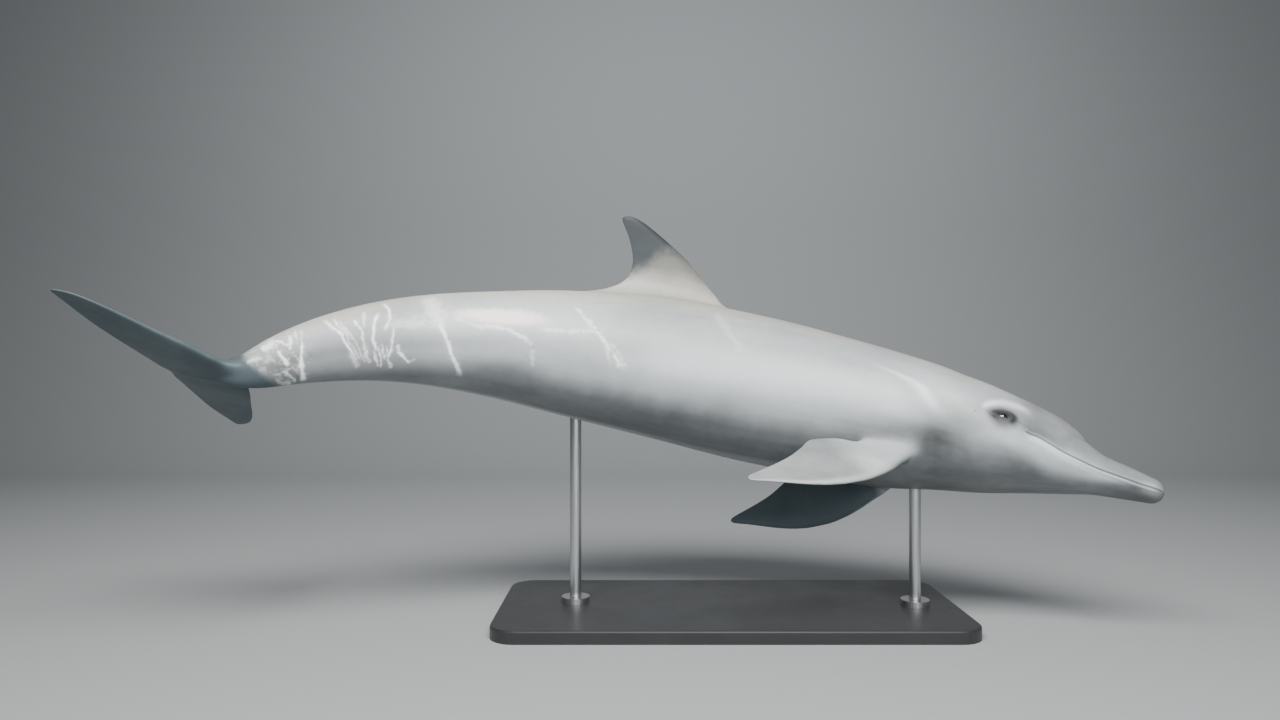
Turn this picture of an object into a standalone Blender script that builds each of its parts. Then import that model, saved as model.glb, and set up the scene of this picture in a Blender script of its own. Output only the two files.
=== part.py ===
"""Life-size museum model of a slender, long-beaked bottlenose dolphin on a plain stand.

World axes: +X towards the beak, +Y to the animal's left, +Z up, floor at z = 0.
Body places are given as (s, lateral, up): s runs along the spine from the tip of the
upper jaw (0) to the notch of the flukes (1), lateral is positive on the right side,
and up is positive towards the back. All three are fractions of TOTAL_LENGTH.
"""

import math

import bmesh
import bpy
import numpy as np
from mathutils import Vector

for old in list(bpy.data.objects):
    bpy.data.objects.remove(old, do_unlink=True)

# ---- Driving sizes ---------------------------------------------------------------
TOTAL_LENGTH = 2.30
GAP = 0.0004
PLANE_GAP = 0.0003

MID_S = 0.45
MID_PLACE = (-0.034, 0.052, 0.565)
POSE_S = (0.0, 0.20, 0.45, 0.70, 0.92)
PITCH_DEG = (-12.5, -13.8, -10.7, -4.3, 19.0)
YAW_DEG = (31.0, 18.0, 0.0, -21.0, -22.0)
ROLL_DEG = (24.0, 27.5, 13.0, 3.0, 0.0)

CREASE_S = 0.060
GAPE_S = 0.128
NECK_S = 0.205
LOIN_S = 0.660
STOCK_END_S = 0.985
FLUKE_S = 0.921
FLUKE_PITCH_DEG = 33.3
FLUKE_ROLL_DEG = 27.4
FLUKE_YAW_DEG = -21.9
FLUKE_BLEND = (0.895, 0.950)

# Lines of the body: s, height above the spine, depth below it, half-width.
BODY_LINES = (
    (0.000, 0.0070, 0.0138, 0.0105),
    (0.030, 0.0132, 0.0168, 0.0180),
    (0.056, 0.0186, 0.0200, 0.0235),
    (0.075, 0.0312, 0.0247, 0.0325),
    (0.100, 0.0446, 0.0312, 0.0420),
    (0.125, 0.0517, 0.0384, 0.0495),
    (0.150, 0.0572, 0.0463, 0.0540),
    (0.200, 0.0668, 0.0578, 0.0620),
    (0.260, 0.0722, 0.0722, 0.0690),
    (0.330, 0.0767, 0.0768, 0.0740),
    (0.400, 0.0807, 0.0775, 0.0760),
    (0.500, 0.0826, 0.0715, 0.0735),
    (0.600, 0.0727, 0.0627, 0.0630),
    (0.700, 0.0570, 0.0495, 0.0470),
    (0.800, 0.0437, 0.0350, 0.0300),
    (0.880, 0.0292, 0.0246, 0.0170),
    (0.930, 0.0160, 0.0162, 0.0115),
    (0.960, 0.0085, 0.0095, 0.0085),
    (0.990, 0.0040, 0.0045, 0.0040),
)
SECTION_POWER = ((0.0, 0.06, 0.12, 0.50, 0.75, 0.90), (2.4, 2.3, 2.1, 2.0, 1.9, 1.8))
MOUTH_LINE = (
    (0.0, 0.02, 0.045, 0.07, 0.09, 0.105, 0.118, 0.128),
    (-0.0030, -0.0036, -0.0030, -0.0026, -0.0016, 0.0010, 0.0029, 0.0021),
)
SNOUT_ROUND = 0.007
SNOUT_REACH = 0.003
RING = 32

EYE_S = 0.1525
EYE_UP = 0.0121
EYE_RADIUS = 0.0150
EYE_PROUD = 0.0028

# Dorsal fin: height above the spine against the s of its front and rear edges.
FIN_HEIGHTS = (0.062, 0.07, 0.0775, 0.082, 0.089, 0.1, 0.115, 0.132, 0.147, 0.158, 0.1615, 0.1642)
FIN_FRONT = (0.412, 0.424, 0.4345, 0.4405, 0.4505, 0.466, 0.4815, 0.501, 0.5235, 0.5422, 0.549, 0.5568)
FIN_REAR = (0.64, 0.612, 0.588, 0.5755, 0.564, 0.556, 0.554, 0.558, 0.5645, 0.5705, 0.5712, 0.568)
FIN_HALF_THICK = (
    0.0125, 0.0115, 0.0104, 0.0096, 0.0085, 0.007, 0.0055, 0.0042, 0.003, 0.0018, 0.0014, 0.0008,
)

# Flipper: share of the length out from the shoulder against front edge, rear edge and
# half-thickness, each a fraction of TOTAL_LENGTH.
FLIPPER_OUT = (-0.15, 0.0, 0.1, 0.2, 0.33, 0.46, 0.57, 0.68, 0.8, 0.9, 0.96, 0.99)
FLIPPER_FRONT = (
    0.012, 0.017, 0.0235, 0.0265, 0.0314, 0.0296, 0.0266, 0.0213, 0.0142, 0.0082, 0.005, 0.0028,
)
FLIPPER_REAR = (0.012, 0.012, 0.015, 0.0211, 0.03, 0.0329, 0.024, 0.0159, 0.0101, 0.0062, 0.0038, 0.002)
FLIPPER_HALF_THICK = (
    0.008, 0.0075, 0.007, 0.0062, 0.0052, 0.0042, 0.0034, 0.0027, 0.002, 0.0013, 0.0009, 0.0006,
)
SHOULDER_S = {"right": 0.250, "left": 0.263}
SHOULDER_OUT = 0.050
SHOULDER_DOWN = {"right": 0.050, "left": 0.058}
# Reach from shoulder to tip and lean of the blade from front to rear edge, as
# (towards the tail, outwards, up).
FLIPPER_REACH = {"right": (0.1212, 0.0683, -0.0872), "left": (0.1374, 0.0553, -0.0661)}
FLIPPER_LEAN = {"right": (0.41, -0.45, 0.79), "left": (0.13, -0.33, 0.93)}

# Fluke: distance out from the midline against front and rear edges behind FLUKE_S.
FLUKE_OUT = (0.0, 0.01, 0.022, 0.038, 0.0555, 0.071, 0.087, 0.1035, 0.1176, 0.1287, 0.1352)
FLUKE_FRONT = (0.0, 0.0075, 0.0158, 0.0245, 0.034, 0.0435, 0.0529, 0.0628, 0.0727, 0.0828, 0.0945)
FLUKE_REAR = (0.084, 0.0872, 0.0888, 0.0915, 0.0946, 0.0975, 0.1, 0.1013, 0.102, 0.103, 0.103)
FLUKE_CURL = 0.305  # the tips rise by this times the square of the distance out
FLUKE_HALF_THICK = (0.0078, 0.0074, 0.0066, 0.0056, 0.0048, 0.0041, 0.0034, 0.0027, 0.002, 0.0013, 0.0006)
EDGE_HALF_THICK = 0.0006

BASE_LENGTH = 1.10
BASE_WIDTH = 0.46
BASE_HEIGHT = 0.030
BASE_CORNER = 0.060
BASE_BEVEL = 0.004
ROD_RADIUS = 0.014
ROD_SPOTS = (0.232, 0.600)
COLLAR_RADIUS = 0.034
COLLAR_HEIGHT = 0.014


# ---- Materials -------------------------------------------------------------------
def material(name, colour, roughness, metallic=0.0):
    mat = bpy.data.materials.new(name)
    mat.use_nodes = True
    shader = mat.node_tree.nodes["Principled BSDF"]
    shader.inputs["Base Color"].default_value = (*colour, 1.0)
    shader.inputs["Roughness"].default_value = roughness
    shader.inputs["Metallic"].default_value = metallic
    return mat


HIDE = material("hide_grey", (0.47, 0.49, 0.50), 0.38)
BEAK = material("beak_grey", (0.40, 0.42, 0.44), 0.38)
FIN = material("fin_slate", (0.17, 0.19, 0.21), 0.38)
EYE = material("eye_dark", (0.020, 0.014, 0.010), 0.08)
BASE = material("stand_black", (0.030, 0.030, 0.032), 0.40)
STEEL = material("stand_steel", (0.60, 0.60, 0.61), 0.28, 1.0)


# ---- Curves ----------------------------------------------------------------------
def bent(xs, ys, x):
    """Natural cubic spline through (xs, ys), read at x."""
    xs, ys, x = (np.asarray(v, float) for v in (xs, ys, x))
    step = np.diff(xs)
    slope = np.diff(ys) / step
    count = len(xs)
    system = np.eye(count)
    right = np.zeros(count)
    for i in range(1, count - 1):
        system[i, i - 1 : i + 2] = (step[i - 1], 2 * (step[i - 1] + step[i]), step[i])
        right[i] = 6 * (slope[i] - slope[i - 1])
    curve = np.linalg.solve(system, right)
    k = np.clip(np.searchsorted(xs, x) - 1, 0, count - 2)
    near = x - xs[k]
    rate = slope[k] - step[k] * (2 * curve[k] + curve[k + 1]) / 6
    return ys[k] + near * (rate + near * (curve[k] / 2 + near * (curve[k + 1] - curve[k]) / (6 * step[k])))


def eased(xs, ys, x):
    """Smooth curve through (xs, ys) that never overshoots them, read at x."""
    xs, ys, x = (np.asarray(v, float) for v in (xs, ys, x))
    step = np.diff(xs)
    slope = np.diff(ys) / step
    tangent = np.concatenate([slope[:1], np.zeros(len(xs) - 2), slope[-1:]])
    for i in range(1, len(xs) - 1):
        if slope[i - 1] * slope[i] > 0:
            a = 2 * step[i] + step[i - 1]
            b = step[i] + 2 * step[i - 1]
            tangent[i] = (a + b) / (a / slope[i - 1] + b / slope[i])
    x = np.clip(x, xs[0], xs[-1])
    k = np.clip(np.searchsorted(xs, x) - 1, 0, len(xs) - 2)
    t = (x - xs[k]) / step[k]
    start = (1 + 2 * t) * (1 - t) ** 2 * ys[k] + t * (1 - t) ** 2 * step[k] * tangent[k]
    end = t * t * (3 - 2 * t) * ys[k + 1] + t * t * (t - 1) * step[k] * tangent[k + 1]
    return start + end


def unit(v):
    return v / np.linalg.norm(v, axis=-1, keepdims=True)


# ---- Spine -----------------------------------------------------------------------
SPINE_S = np.arange(-8, 422) / 400.0


def spine_axes():
    """Forward, right and up directions along the spine; the tail end eases into the flukes' own lie."""
    s = np.clip(SPINE_S, 0.0, 1.0)
    pitch = np.radians(bent(POSE_S, PITCH_DEG, s))
    yaw = np.radians(bent(POSE_S, YAW_DEG, s))
    roll = np.radians(bent(POSE_S, ROLL_DEG, s))[:, None]
    forward = np.stack([np.cos(pitch) * np.cos(yaw), -np.cos(pitch) * np.sin(yaw), np.sin(pitch)], 1)
    level = unit(np.cross(forward, (0.0, 0.0, 1.0)))
    over = np.cross(level, forward)
    right = np.cos(roll) * level + np.sin(roll) * over
    up = np.cos(roll) * over - np.sin(roll) * level

    at = int(np.searchsorted(SPINE_S, FLUKE_S))
    p, r, y = (math.radians(v) for v in (FLUKE_PITCH_DEG, FLUKE_ROLL_DEG, FLUKE_YAW_DEG))
    side = math.cos(r) * right[at] + math.sin(r) * up[at]
    top = math.cos(r) * up[at] - math.sin(r) * right[at]
    back = -math.cos(p) * forward[at] + math.sin(p) * top
    fluke_back = math.cos(y) * back + math.sin(y) * side
    fluke_right = math.cos(y) * side - math.sin(y) * back
    share = np.clip((SPINE_S - FLUKE_BLEND[0]) / (FLUKE_BLEND[1] - FLUKE_BLEND[0]), 0, 1)[:, None]
    share = share * share * (3 - 2 * share)
    forward = unit((1 - share) * forward - share * fluke_back)
    right = (1 - share) * right + share * fluke_right
    right = unit(right - forward * (right * forward).sum(1, keepdims=True))
    return forward, right, np.cross(right, forward)


FORWARD, RIGHT, UP = spine_axes()
STRIDES = (FORWARD[1:] + FORWARD[:-1]) / 2 * np.diff(SPINE_S)[:, None]
SPINE = np.concatenate([np.zeros((1, 3)), -np.cumsum(STRIDES, axis=0)])
SPINE = SPINE - SPINE[int(np.searchsorted(SPINE_S, MID_S))]


def axes_at(s):
    return tuple(
        np.stack([np.interp(s, SPINE_S, table[:, k]) for k in range(3)], -1)
        for table in (SPINE, FORWARD, RIGHT, UP)
    )


def place(s, lateral, up):
    """World points for body places given as arrays of equal length."""
    spine, _, right, over = axes_at(np.asarray(s, float))
    lateral, up = (np.asarray(v, float)[..., None] for v in (lateral, up))
    return np.asarray(MID_PLACE) + TOTAL_LENGTH * (spine + lateral * right + up * over)


# ---- Body sections ---------------------------------------------------------------
def section(s):
    """Height above the spine, depth below it, half-width and outline power at s."""
    lines = np.array(BODY_LINES)
    size = (float(eased(lines[:, 0], lines[:, k], s)) for k in (1, 2, 3))
    return (*size, float(eased(*SECTION_POWER, s)))


def outline(s, angles, swell=0.0):
    """Lateral and up of the section's outline at these angles, 0 at the right side and pi/2 on the back."""
    high, low, wide, power = section(s)
    grow = swell / TOTAL_LENGTH
    c, n = np.cos(angles), np.sin(angles)
    lateral = (wide + grow) * np.sign(c) * np.abs(c) ** (2 / power)
    up = np.where(n > 0, high + grow, low + grow) * np.sign(n) * np.abs(n) ** (2 / power)
    if s < SNOUT_ROUND:
        inward = (SNOUT_ROUND - s) / (SNOUT_ROUND + SNOUT_REACH)
        shrink = math.sqrt(max(1 - inward**2, 0.0))
        lateral = lateral * shrink
        up = mouth_level(s) + (up - mouth_level(s)) * shrink
    return lateral, up


def mouth_level(s):
    return float(eased(*MOUTH_LINE, s))


def mouth_angle(s, up):
    """Angle on the right side where the outline stands at this height."""
    high, low, _, power = section(s)
    reach = high if up > 0 else low
    return math.copysign(math.asin(min(abs(up) / reach, 0.999) ** (power / 2)), up)


def full_ring(s, swell=0.0):
    angles = np.arange(RING) * 2 * math.pi / RING
    lateral, up = outline(s, angles, swell)
    return place(np.full(RING, s), lateral, up)


def jaw_ring(s, side, closed=False):
    """Ring of the upper (side 1) or lower (side -1) jaw: an arc, then a flat along the mouth line.

    With closed set, the flat becomes the rest of the section's outline.
    """
    half = RING // 2 + 1
    flat = RING - half
    start = mouth_angle(s, mouth_level(s))
    if side > 0:
        arc = np.linspace(start, math.pi - start, half)
        rest = np.linspace(math.pi - start, 2 * math.pi + start, flat + 2)[1:-1]
    else:
        arc = np.linspace(math.pi - start, 2 * math.pi + start, half)
        rest = np.linspace(start, math.pi - start, flat + 2)[1:-1]
    lateral, up = outline(s, arc)
    if closed:
        lateral_rest, up_rest = outline(s, rest)
    else:
        lateral_rest = np.linspace(lateral[-1], lateral[0], flat + 2)[1:-1]
        up_rest = np.full(flat, mouth_level(s))
    up = np.append(up, up_rest) + (0.0 if closed else side * GAP / 2 / TOTAL_LENGTH)
    return place(np.full(RING, s), np.append(lateral, lateral_rest), up)


# ---- Meshes ----------------------------------------------------------------------
def add_object(name, bm, mat):
    bmesh.ops.recalc_face_normals(bm, faces=bm.faces)
    mesh = bpy.data.meshes.new(name)
    bm.to_mesh(mesh)
    bm.free()
    mesh.materials.append(mat)
    obj = bpy.data.objects.new(name, mesh)
    bpy.context.scene.collection.objects.link(obj)
    return obj


def loft(name, rings, mat):
    """Closed solid through rings of equal length, ended by a fan of triangles at each end."""
    bm = bmesh.new()
    rows = [[bm.verts.new(p) for p in ring] for ring in rings]
    count = len(rows[0])
    for near, far in zip(rows, rows[1:]):
        for i in range(count):
            j = (i + 1) % count
            bm.faces.new((near[i], near[j], far[j], far[i]))
    for row, ring in ((rows[0], rings[0]), (rows[-1], rings[-1])):
        hub = bm.verts.new(np.mean(ring, axis=0))
        for i in range(count):
            bm.faces.new((hub, row[i], row[(i + 1) % count]))
    return add_object(name, bm, mat)


def keep_difference(obj, cutter):
    """Cuts the cutter's solid away from obj and keeps the plain result."""
    cut = obj.modifiers.new("cut", "BOOLEAN")
    cut.operation = "DIFFERENCE"
    cut.solver = "EXACT"
    cut.object = cutter
    bpy.context.view_layer.update()
    graph = bpy.context.evaluated_depsgraph_get()
    mesh = bpy.data.meshes.new_from_object(obj.evaluated_get(graph))
    obj.modifiers.clear()
    obj.data = mesh
    bm = bmesh.new()
    bm.from_mesh(mesh)
    bmesh.ops.remove_doubles(bm, verts=bm.verts, dist=1e-5)
    bmesh.ops.dissolve_degenerate(bm, edges=bm.edges, dist=1e-5)
    bmesh.ops.triangulate(bm, faces=bm.faces)
    bm.to_mesh(mesh)
    bm.free()


def foil(front, rear, half_thick, points=7):
    """Outline of a fin section as (share from front to rear edge, offset) pairs, round in front, thin behind."""
    x = (1 - np.cos(np.linspace(0, math.pi, points))) / 2
    y = 2.969 * np.sqrt(x) - 1.26 * x - 3.516 * x**2 + 2.843 * x**3 - 1.036 * x**4
    y = np.maximum(y * half_thick, EDGE_HALF_THICK / TOTAL_LENGTH)
    y[0] = 0.0
    along = front + (rear - front) * x
    return np.append(along, along[:0:-1]), np.append(y, -y[:0:-1])


# ---- Head and jaws ---------------------------------------------------------------
CUT = PLANE_GAP / TOTAL_LENGTH
beak_s = (0.002, 0.007, 0.013, 0.024, 0.036, 0.048)
cheek_s = (0.068, 0.077, 0.087, 0.096, 0.105, 0.112, 0.119)
upper_s = (-0.0028, -0.0015, *beak_s, CREASE_S - CUT)
upper_jaw = loft("upper_jaw", [jaw_ring(s, 1) for s in upper_s], BEAK)

lower_s = (-0.0028, -0.0016, *beak_s, CREASE_S, *cheek_s, GAPE_S - 2 * CUT)
lower_jaw = loft("lower_jaw", [jaw_ring(s, -1) for s in lower_s], BEAK)

face_s = (CREASE_S + CUT, *cheek_s, GAPE_S)
skull_s = (GAPE_S + 2 * CUT, 0.138, 0.148, 0.158, 0.169, 0.181, 0.193, NECK_S - CUT)
head_rings = [jaw_ring(s, 1) for s in face_s]
head_rings += [jaw_ring(s, 1, closed=True) for s in skull_s]
head = loft("head", head_rings, HIDE)

# ---- Trunk and tail stock --------------------------------------------------------
trunk_s = np.linspace(NECK_S + CUT, LOIN_S - CUT, 19)
trunk = loft("trunk", [full_ring(s) for s in trunk_s], HIDE)
stock_s = np.append(np.linspace(LOIN_S + CUT, 0.90, 9), np.linspace(0.912, STOCK_END_S, 7))
tail_stock = loft("tail_stock", [full_ring(s) for s in stock_s], HIDE)

# The whole body grown by the clearance, for trimming the fins and rods to it.
flesh_s = np.concatenate([skull_s[:-1], trunk_s, stock_s[1:]])
flesh = loft("flesh_cutter", [full_ring(s, GAP) for s in flesh_s], HIDE)

# ---- Fins ------------------------------------------------------------------------
fin_rings = []
for up, front, rear, half in zip(FIN_HEIGHTS, FIN_FRONT, FIN_REAR, FIN_HALF_THICK):
    along, across = foil(front, rear, half)
    fin_rings.append(place(along, across, np.full(len(along), up)))
dorsal_fin = loft("dorsal_fin", fin_rings, FIN)

flippers = []
for side, sign in (("right", 1.0), ("left", -1.0)):
    spine, forward, right, over = axes_at(SHOULDER_S[side])
    outward = sign * right
    root = spine + SHOULDER_OUT * outward - SHOULDER_DOWN[side] * over
    reach = sum(c * v for c, v in zip(FLIPPER_REACH[side], (-forward, outward, over)))
    lean = sum(c * v for c, v in zip(FLIPPER_LEAN[side], (-forward, outward, over)))
    span = unit(reach)
    lean = unit(lean - span * np.dot(lean, span))
    face = np.cross(span, lean)
    rings = []
    for out, front, rear, half in zip(FLIPPER_OUT, FLIPPER_FRONT, FLIPPER_REAR, FLIPPER_HALF_THICK):
        along, across = foil(-front, rear, half)
        centre = root + out * reach
        points = centre + along[:, None] * lean + across[:, None] * face
        rings.append(np.asarray(MID_PLACE) + TOTAL_LENGTH * points)
    flippers.append(loft(f"flipper_{side}", rings, FIN))

flukes = []
for side, sign in (("right", 1.0), ("left", -1.0)):
    rings = []
    for out, front, rear, half in zip(FLUKE_OUT, FLUKE_FRONT, FLUKE_REAR, FLUKE_HALF_THICK):
        along, across = foil(FLUKE_S + front, FLUKE_S + rear, half)
        lateral = np.full(len(along), sign * (out + CUT))
        rings.append(place(along, lateral, across + FLUKE_CURL * out**2))
    flukes.append(loft(f"fluke_{side}", rings, FIN))

for fin in (dorsal_fin, *flippers, *flukes):
    keep_difference(fin, flesh)


# ---- Eyes ------------------------------------------------------------------------
def ball(name, centre, outward, radius, mat):
    bm = bmesh.new()
    bmesh.ops.create_uvsphere(bm, u_segments=16, v_segments=10, radius=radius)
    turn = Vector(outward).to_track_quat("Z", "Y").to_matrix()
    bmesh.ops.rotate(bm, verts=bm.verts, cent=(0, 0, 0), matrix=turn)
    bmesh.ops.translate(bm, verts=bm.verts, vec=Vector(centre))
    return add_object(name, bm, mat)


def eye_place(sign):
    """Centre of the eyeball and the way it faces."""
    angle = mouth_angle(EYE_S, EYE_UP)
    shift = 0.004
    points = []
    for s, turn in ((EYE_S, 0.0), (EYE_S + shift, 0.0), (EYE_S, 0.08)):
        lateral, up = outline(s, np.array([angle + turn]))
        points.append(place([s], sign * lateral, up)[0])
    outward = unit(np.cross(points[1] - points[0], points[2] - points[0]))
    spine, _, _, _ = axes_at(EYE_S)
    outward = outward * np.sign(np.dot(outward, points[0] - np.asarray(MID_PLACE) - TOTAL_LENGTH * spine))
    return points[0] + outward * (EYE_PROUD - EYE_RADIUS), outward


for side, sign in (("right", 1.0), ("left", -1.0)):
    centre, outward = eye_place(sign)
    ball(f"eye_{side}", centre, outward, EYE_RADIUS, EYE)
    socket = ball("socket_cutter", centre, outward, EYE_RADIUS + GAP, HIDE)
    keep_difference(head, socket)
    bpy.data.objects.remove(socket, do_unlink=True)


# ---- Stand -----------------------------------------------------------------------
def turned(name, centre, radius, bottom, top, mat, sides=32):
    bm = bmesh.new()
    bmesh.ops.create_cone(
        bm, cap_ends=True, segments=sides, radius1=radius, radius2=radius, depth=top - bottom
    )
    bmesh.ops.translate(bm, verts=bm.verts, vec=(centre[0], centre[1], (bottom + top) / 2))
    return add_object(name, bm, mat)


bm = bmesh.new()
bmesh.ops.create_cube(bm, size=1.0)
bmesh.ops.scale(bm, verts=bm.verts, vec=(BASE_LENGTH, BASE_WIDTH, BASE_HEIGHT))
bmesh.ops.translate(bm, verts=bm.verts, vec=(0, 0, BASE_HEIGHT / 2))
corners = [e for e in bm.edges if abs(e.verts[0].co.z - e.verts[1].co.z) > BASE_HEIGHT / 2]
bmesh.ops.bevel(bm, geom=corners, offset=BASE_CORNER, segments=8, profile=0.5, affect="EDGES")
rim = [e for e in bm.edges if min(v.co.z for v in e.verts) > BASE_HEIGHT - 1e-6]
bmesh.ops.bevel(bm, geom=rim, offset=BASE_BEVEL, segments=2, profile=0.5, affect="EDGES")
add_object("stand_base", bm, BASE)

for label, s in zip(("front", "rear"), ROD_SPOTS):
    spine = np.asarray(MID_PLACE) + TOTAL_LENGTH * axes_at(s)[0]
    foot = BASE_HEIGHT + GAP
    rod = turned(f"stand_rod_{label}", spine, ROD_RADIUS, foot + COLLAR_HEIGHT + GAP, spine[2], STEEL)
    keep_difference(rod, flesh)
    turned(f"stand_collar_{label}", spine, COLLAR_RADIUS, foot, foot + COLLAR_HEIGHT, STEEL)

bpy.data.objects.remove(flesh, do_unlink=True)
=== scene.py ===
"""Bottlenose dolphin, life size, on its display stand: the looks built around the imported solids."""

import math

import bmesh
import bpy
import numpy as np
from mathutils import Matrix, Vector
from mathutils.kdtree import KDTree


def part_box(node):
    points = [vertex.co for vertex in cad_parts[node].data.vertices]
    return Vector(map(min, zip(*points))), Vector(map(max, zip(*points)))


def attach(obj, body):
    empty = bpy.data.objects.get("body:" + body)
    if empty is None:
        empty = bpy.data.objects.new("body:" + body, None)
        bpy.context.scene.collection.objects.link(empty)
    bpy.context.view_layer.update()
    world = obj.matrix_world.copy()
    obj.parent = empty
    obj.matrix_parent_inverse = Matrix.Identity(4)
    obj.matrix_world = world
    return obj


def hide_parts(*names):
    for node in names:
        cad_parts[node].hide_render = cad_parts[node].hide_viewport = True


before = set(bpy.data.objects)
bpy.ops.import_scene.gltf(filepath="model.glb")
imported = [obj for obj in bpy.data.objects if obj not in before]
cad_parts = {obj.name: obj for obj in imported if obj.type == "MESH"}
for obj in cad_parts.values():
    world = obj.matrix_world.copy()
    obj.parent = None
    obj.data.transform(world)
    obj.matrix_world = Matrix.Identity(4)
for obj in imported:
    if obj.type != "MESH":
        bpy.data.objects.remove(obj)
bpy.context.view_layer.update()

# ---- Run of the body --------------------------------------------------------------
# A living spine carries the whole animal: the back arched upwards, head and tail eased
# to the right, and the right side rolled up, most of all at the head.

# Body places are (s, lateral, up) in body lengths: s is 0 at the tip of the upper jaw and
# 1 at the notch of the flukes, and lateral is positive on the right.
BODY_LENGTH = 2.30
MID_S = 0.45
MID_PLACE = np.array((-0.034, 0.052, 0.565))
POSE_S = (0.0, 0.20, 0.45, 0.70, 0.92)
PITCH_DEG = (-12.5, -13.8, -10.7, -4.3, 19.0)
YAW_DEG = (31.0, 18.0, 0.0, -21.0, -22.0)
ROLL_DEG = (24.0, 27.5, 13.0, 3.0, 0.0)
# Where the flukes begin, how far they are pitched, rolled and yawed from the tail stock,
# and where the one lie eases into the other.
FLUKE_S = 0.921
FLUKE_TURN_DEG = (33.3, 27.4, -21.9)
FLUKE_BLEND = (0.895, 0.950)
SPINE_STEPS = 400
SPINE_S = np.arange(-8, 424) / SPINE_STEPS


def bent(xs, ys, x):
    """Natural cubic spline through (xs, ys), read at x."""
    xs, ys, x = (np.asarray(v, float) for v in (xs, ys, x))
    step = np.diff(xs)
    slope = np.diff(ys) / step
    count = len(xs)
    system = np.eye(count)
    right = np.zeros(count)
    for i in range(1, count - 1):
        system[i, i - 1 : i + 2] = (step[i - 1], 2 * (step[i - 1] + step[i]), step[i])
        right[i] = 6 * (slope[i] - slope[i - 1])
    curve = np.linalg.solve(system, right)
    k = np.clip(np.searchsorted(xs, x) - 1, 0, count - 2)
    near = x - xs[k]
    rate = slope[k] - step[k] * (2 * curve[k] + curve[k + 1]) / 6
    cubic = (curve[k + 1] - curve[k]) / (6 * step[k])
    return ys[k] + near * (rate + near * (curve[k] / 2 + near * cubic))


def smooth(low, high, x):
    """0 on low's side, 1 on high's, eased between; low may be above high."""
    t = np.clip((np.asarray(x, float) - low) / (high - low), 0, 1)
    return t * t * (3 - 2 * t)


def unit(v):
    """The vector, or each row of vectors, at a length of 1."""
    return v / np.linalg.norm(v, axis=-1, keepdims=True)


def spine_axes():
    """Forward, right and up along the spine; the tail end eases into the lie of the flukes."""
    s = np.clip(SPINE_S, 0.0, 1.0)
    pitch, yaw = (np.radians(bent(POSE_S, degrees, s)) for degrees in (PITCH_DEG, YAW_DEG))
    roll = np.radians(bent(POSE_S, ROLL_DEG, s))[:, None]
    forward = np.stack([np.cos(pitch) * np.cos(yaw), -np.cos(pitch) * np.sin(yaw), np.sin(pitch)], 1)
    level = unit(np.cross(forward, (0.0, 0.0, 1.0)))
    over = np.cross(level, forward)
    right = np.cos(roll) * level + np.sin(roll) * over
    up = np.cos(roll) * over - np.sin(roll) * level
    at = int(np.searchsorted(SPINE_S, FLUKE_S))
    p, r, y = (math.radians(v) for v in FLUKE_TURN_DEG)
    side = math.cos(r) * right[at] + math.sin(r) * up[at]
    top = math.cos(r) * up[at] - math.sin(r) * right[at]
    back = -math.cos(p) * forward[at] + math.sin(p) * top
    fluke_back = math.cos(y) * back + math.sin(y) * side
    fluke_right = math.cos(y) * side - math.sin(y) * back
    share = smooth(*FLUKE_BLEND, SPINE_S)[:, None]
    forward = unit((1 - share) * forward - share * fluke_back)
    right = (1 - share) * right + share * fluke_right
    right = unit(right - forward * (right * forward).sum(1, keepdims=True))
    return forward, right, np.cross(right, forward)


FORWARD, RIGHT, UP = spine_axes()
STRIDES = (FORWARD[1:] + FORWARD[:-1]) / 2 * np.diff(SPINE_S)[:, None]
SPINE = np.concatenate([np.zeros((1, 3)), -np.cumsum(STRIDES, axis=0)])
SPINE = SPINE - SPINE[int(np.searchsorted(SPINE_S, MID_S))]


def axes_at(s):
    """Spine point, forward, right and up at s."""
    return tuple(
        np.stack([np.interp(s, SPINE_S, table[:, k]) for k in range(3)], -1)
        for table in (SPINE, FORWARD, RIGHT, UP)
    )


def place(s, lateral, up):
    """World points for body places given as arrays of one shape."""
    spine, _, right, over = axes_at(np.asarray(s, float))
    lateral, up = (np.asarray(v, float)[..., None] for v in (lateral, up))
    return MID_PLACE + BODY_LENGTH * (spine + lateral * right + up * over)


# ---- Barrel of the body, head and jaws --------------------------------------------
# Firm, smooth skin over blubber, from the snout to the root of the flukes. It is one tube
# of rings, closest over the mouth and eyes, with lips, lids and creases pressed into it.

# Lines of the body: s, height above the spine, depth below it, half-width.
BODY_LINES = np.array((
    (0.000, 0.0070, 0.0138, 0.0105),
    (0.030, 0.0132, 0.0168, 0.0180),
    (0.056, 0.0186, 0.0200, 0.0235),
    (0.075, 0.0312, 0.0247, 0.0325),
    (0.100, 0.0446, 0.0312, 0.0420),
    (0.125, 0.0517, 0.0384, 0.0495),
    (0.150, 0.0572, 0.0463, 0.0540),
    (0.200, 0.0668, 0.0578, 0.0620),
    (0.260, 0.0722, 0.0722, 0.0690),
    (0.330, 0.0767, 0.0768, 0.0740),
    (0.400, 0.0807, 0.0775, 0.0760),
    (0.500, 0.0826, 0.0715, 0.0735),
    (0.600, 0.0727, 0.0627, 0.0630),
    (0.700, 0.0570, 0.0495, 0.0470),
    (0.800, 0.0437, 0.0350, 0.0300),
    (0.880, 0.0292, 0.0246, 0.0170),
    (0.930, 0.0160, 0.0162, 0.0115),
    (0.960, 0.0085, 0.0095, 0.0085),
    (0.990, 0.0040, 0.0045, 0.0040),
))
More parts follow.
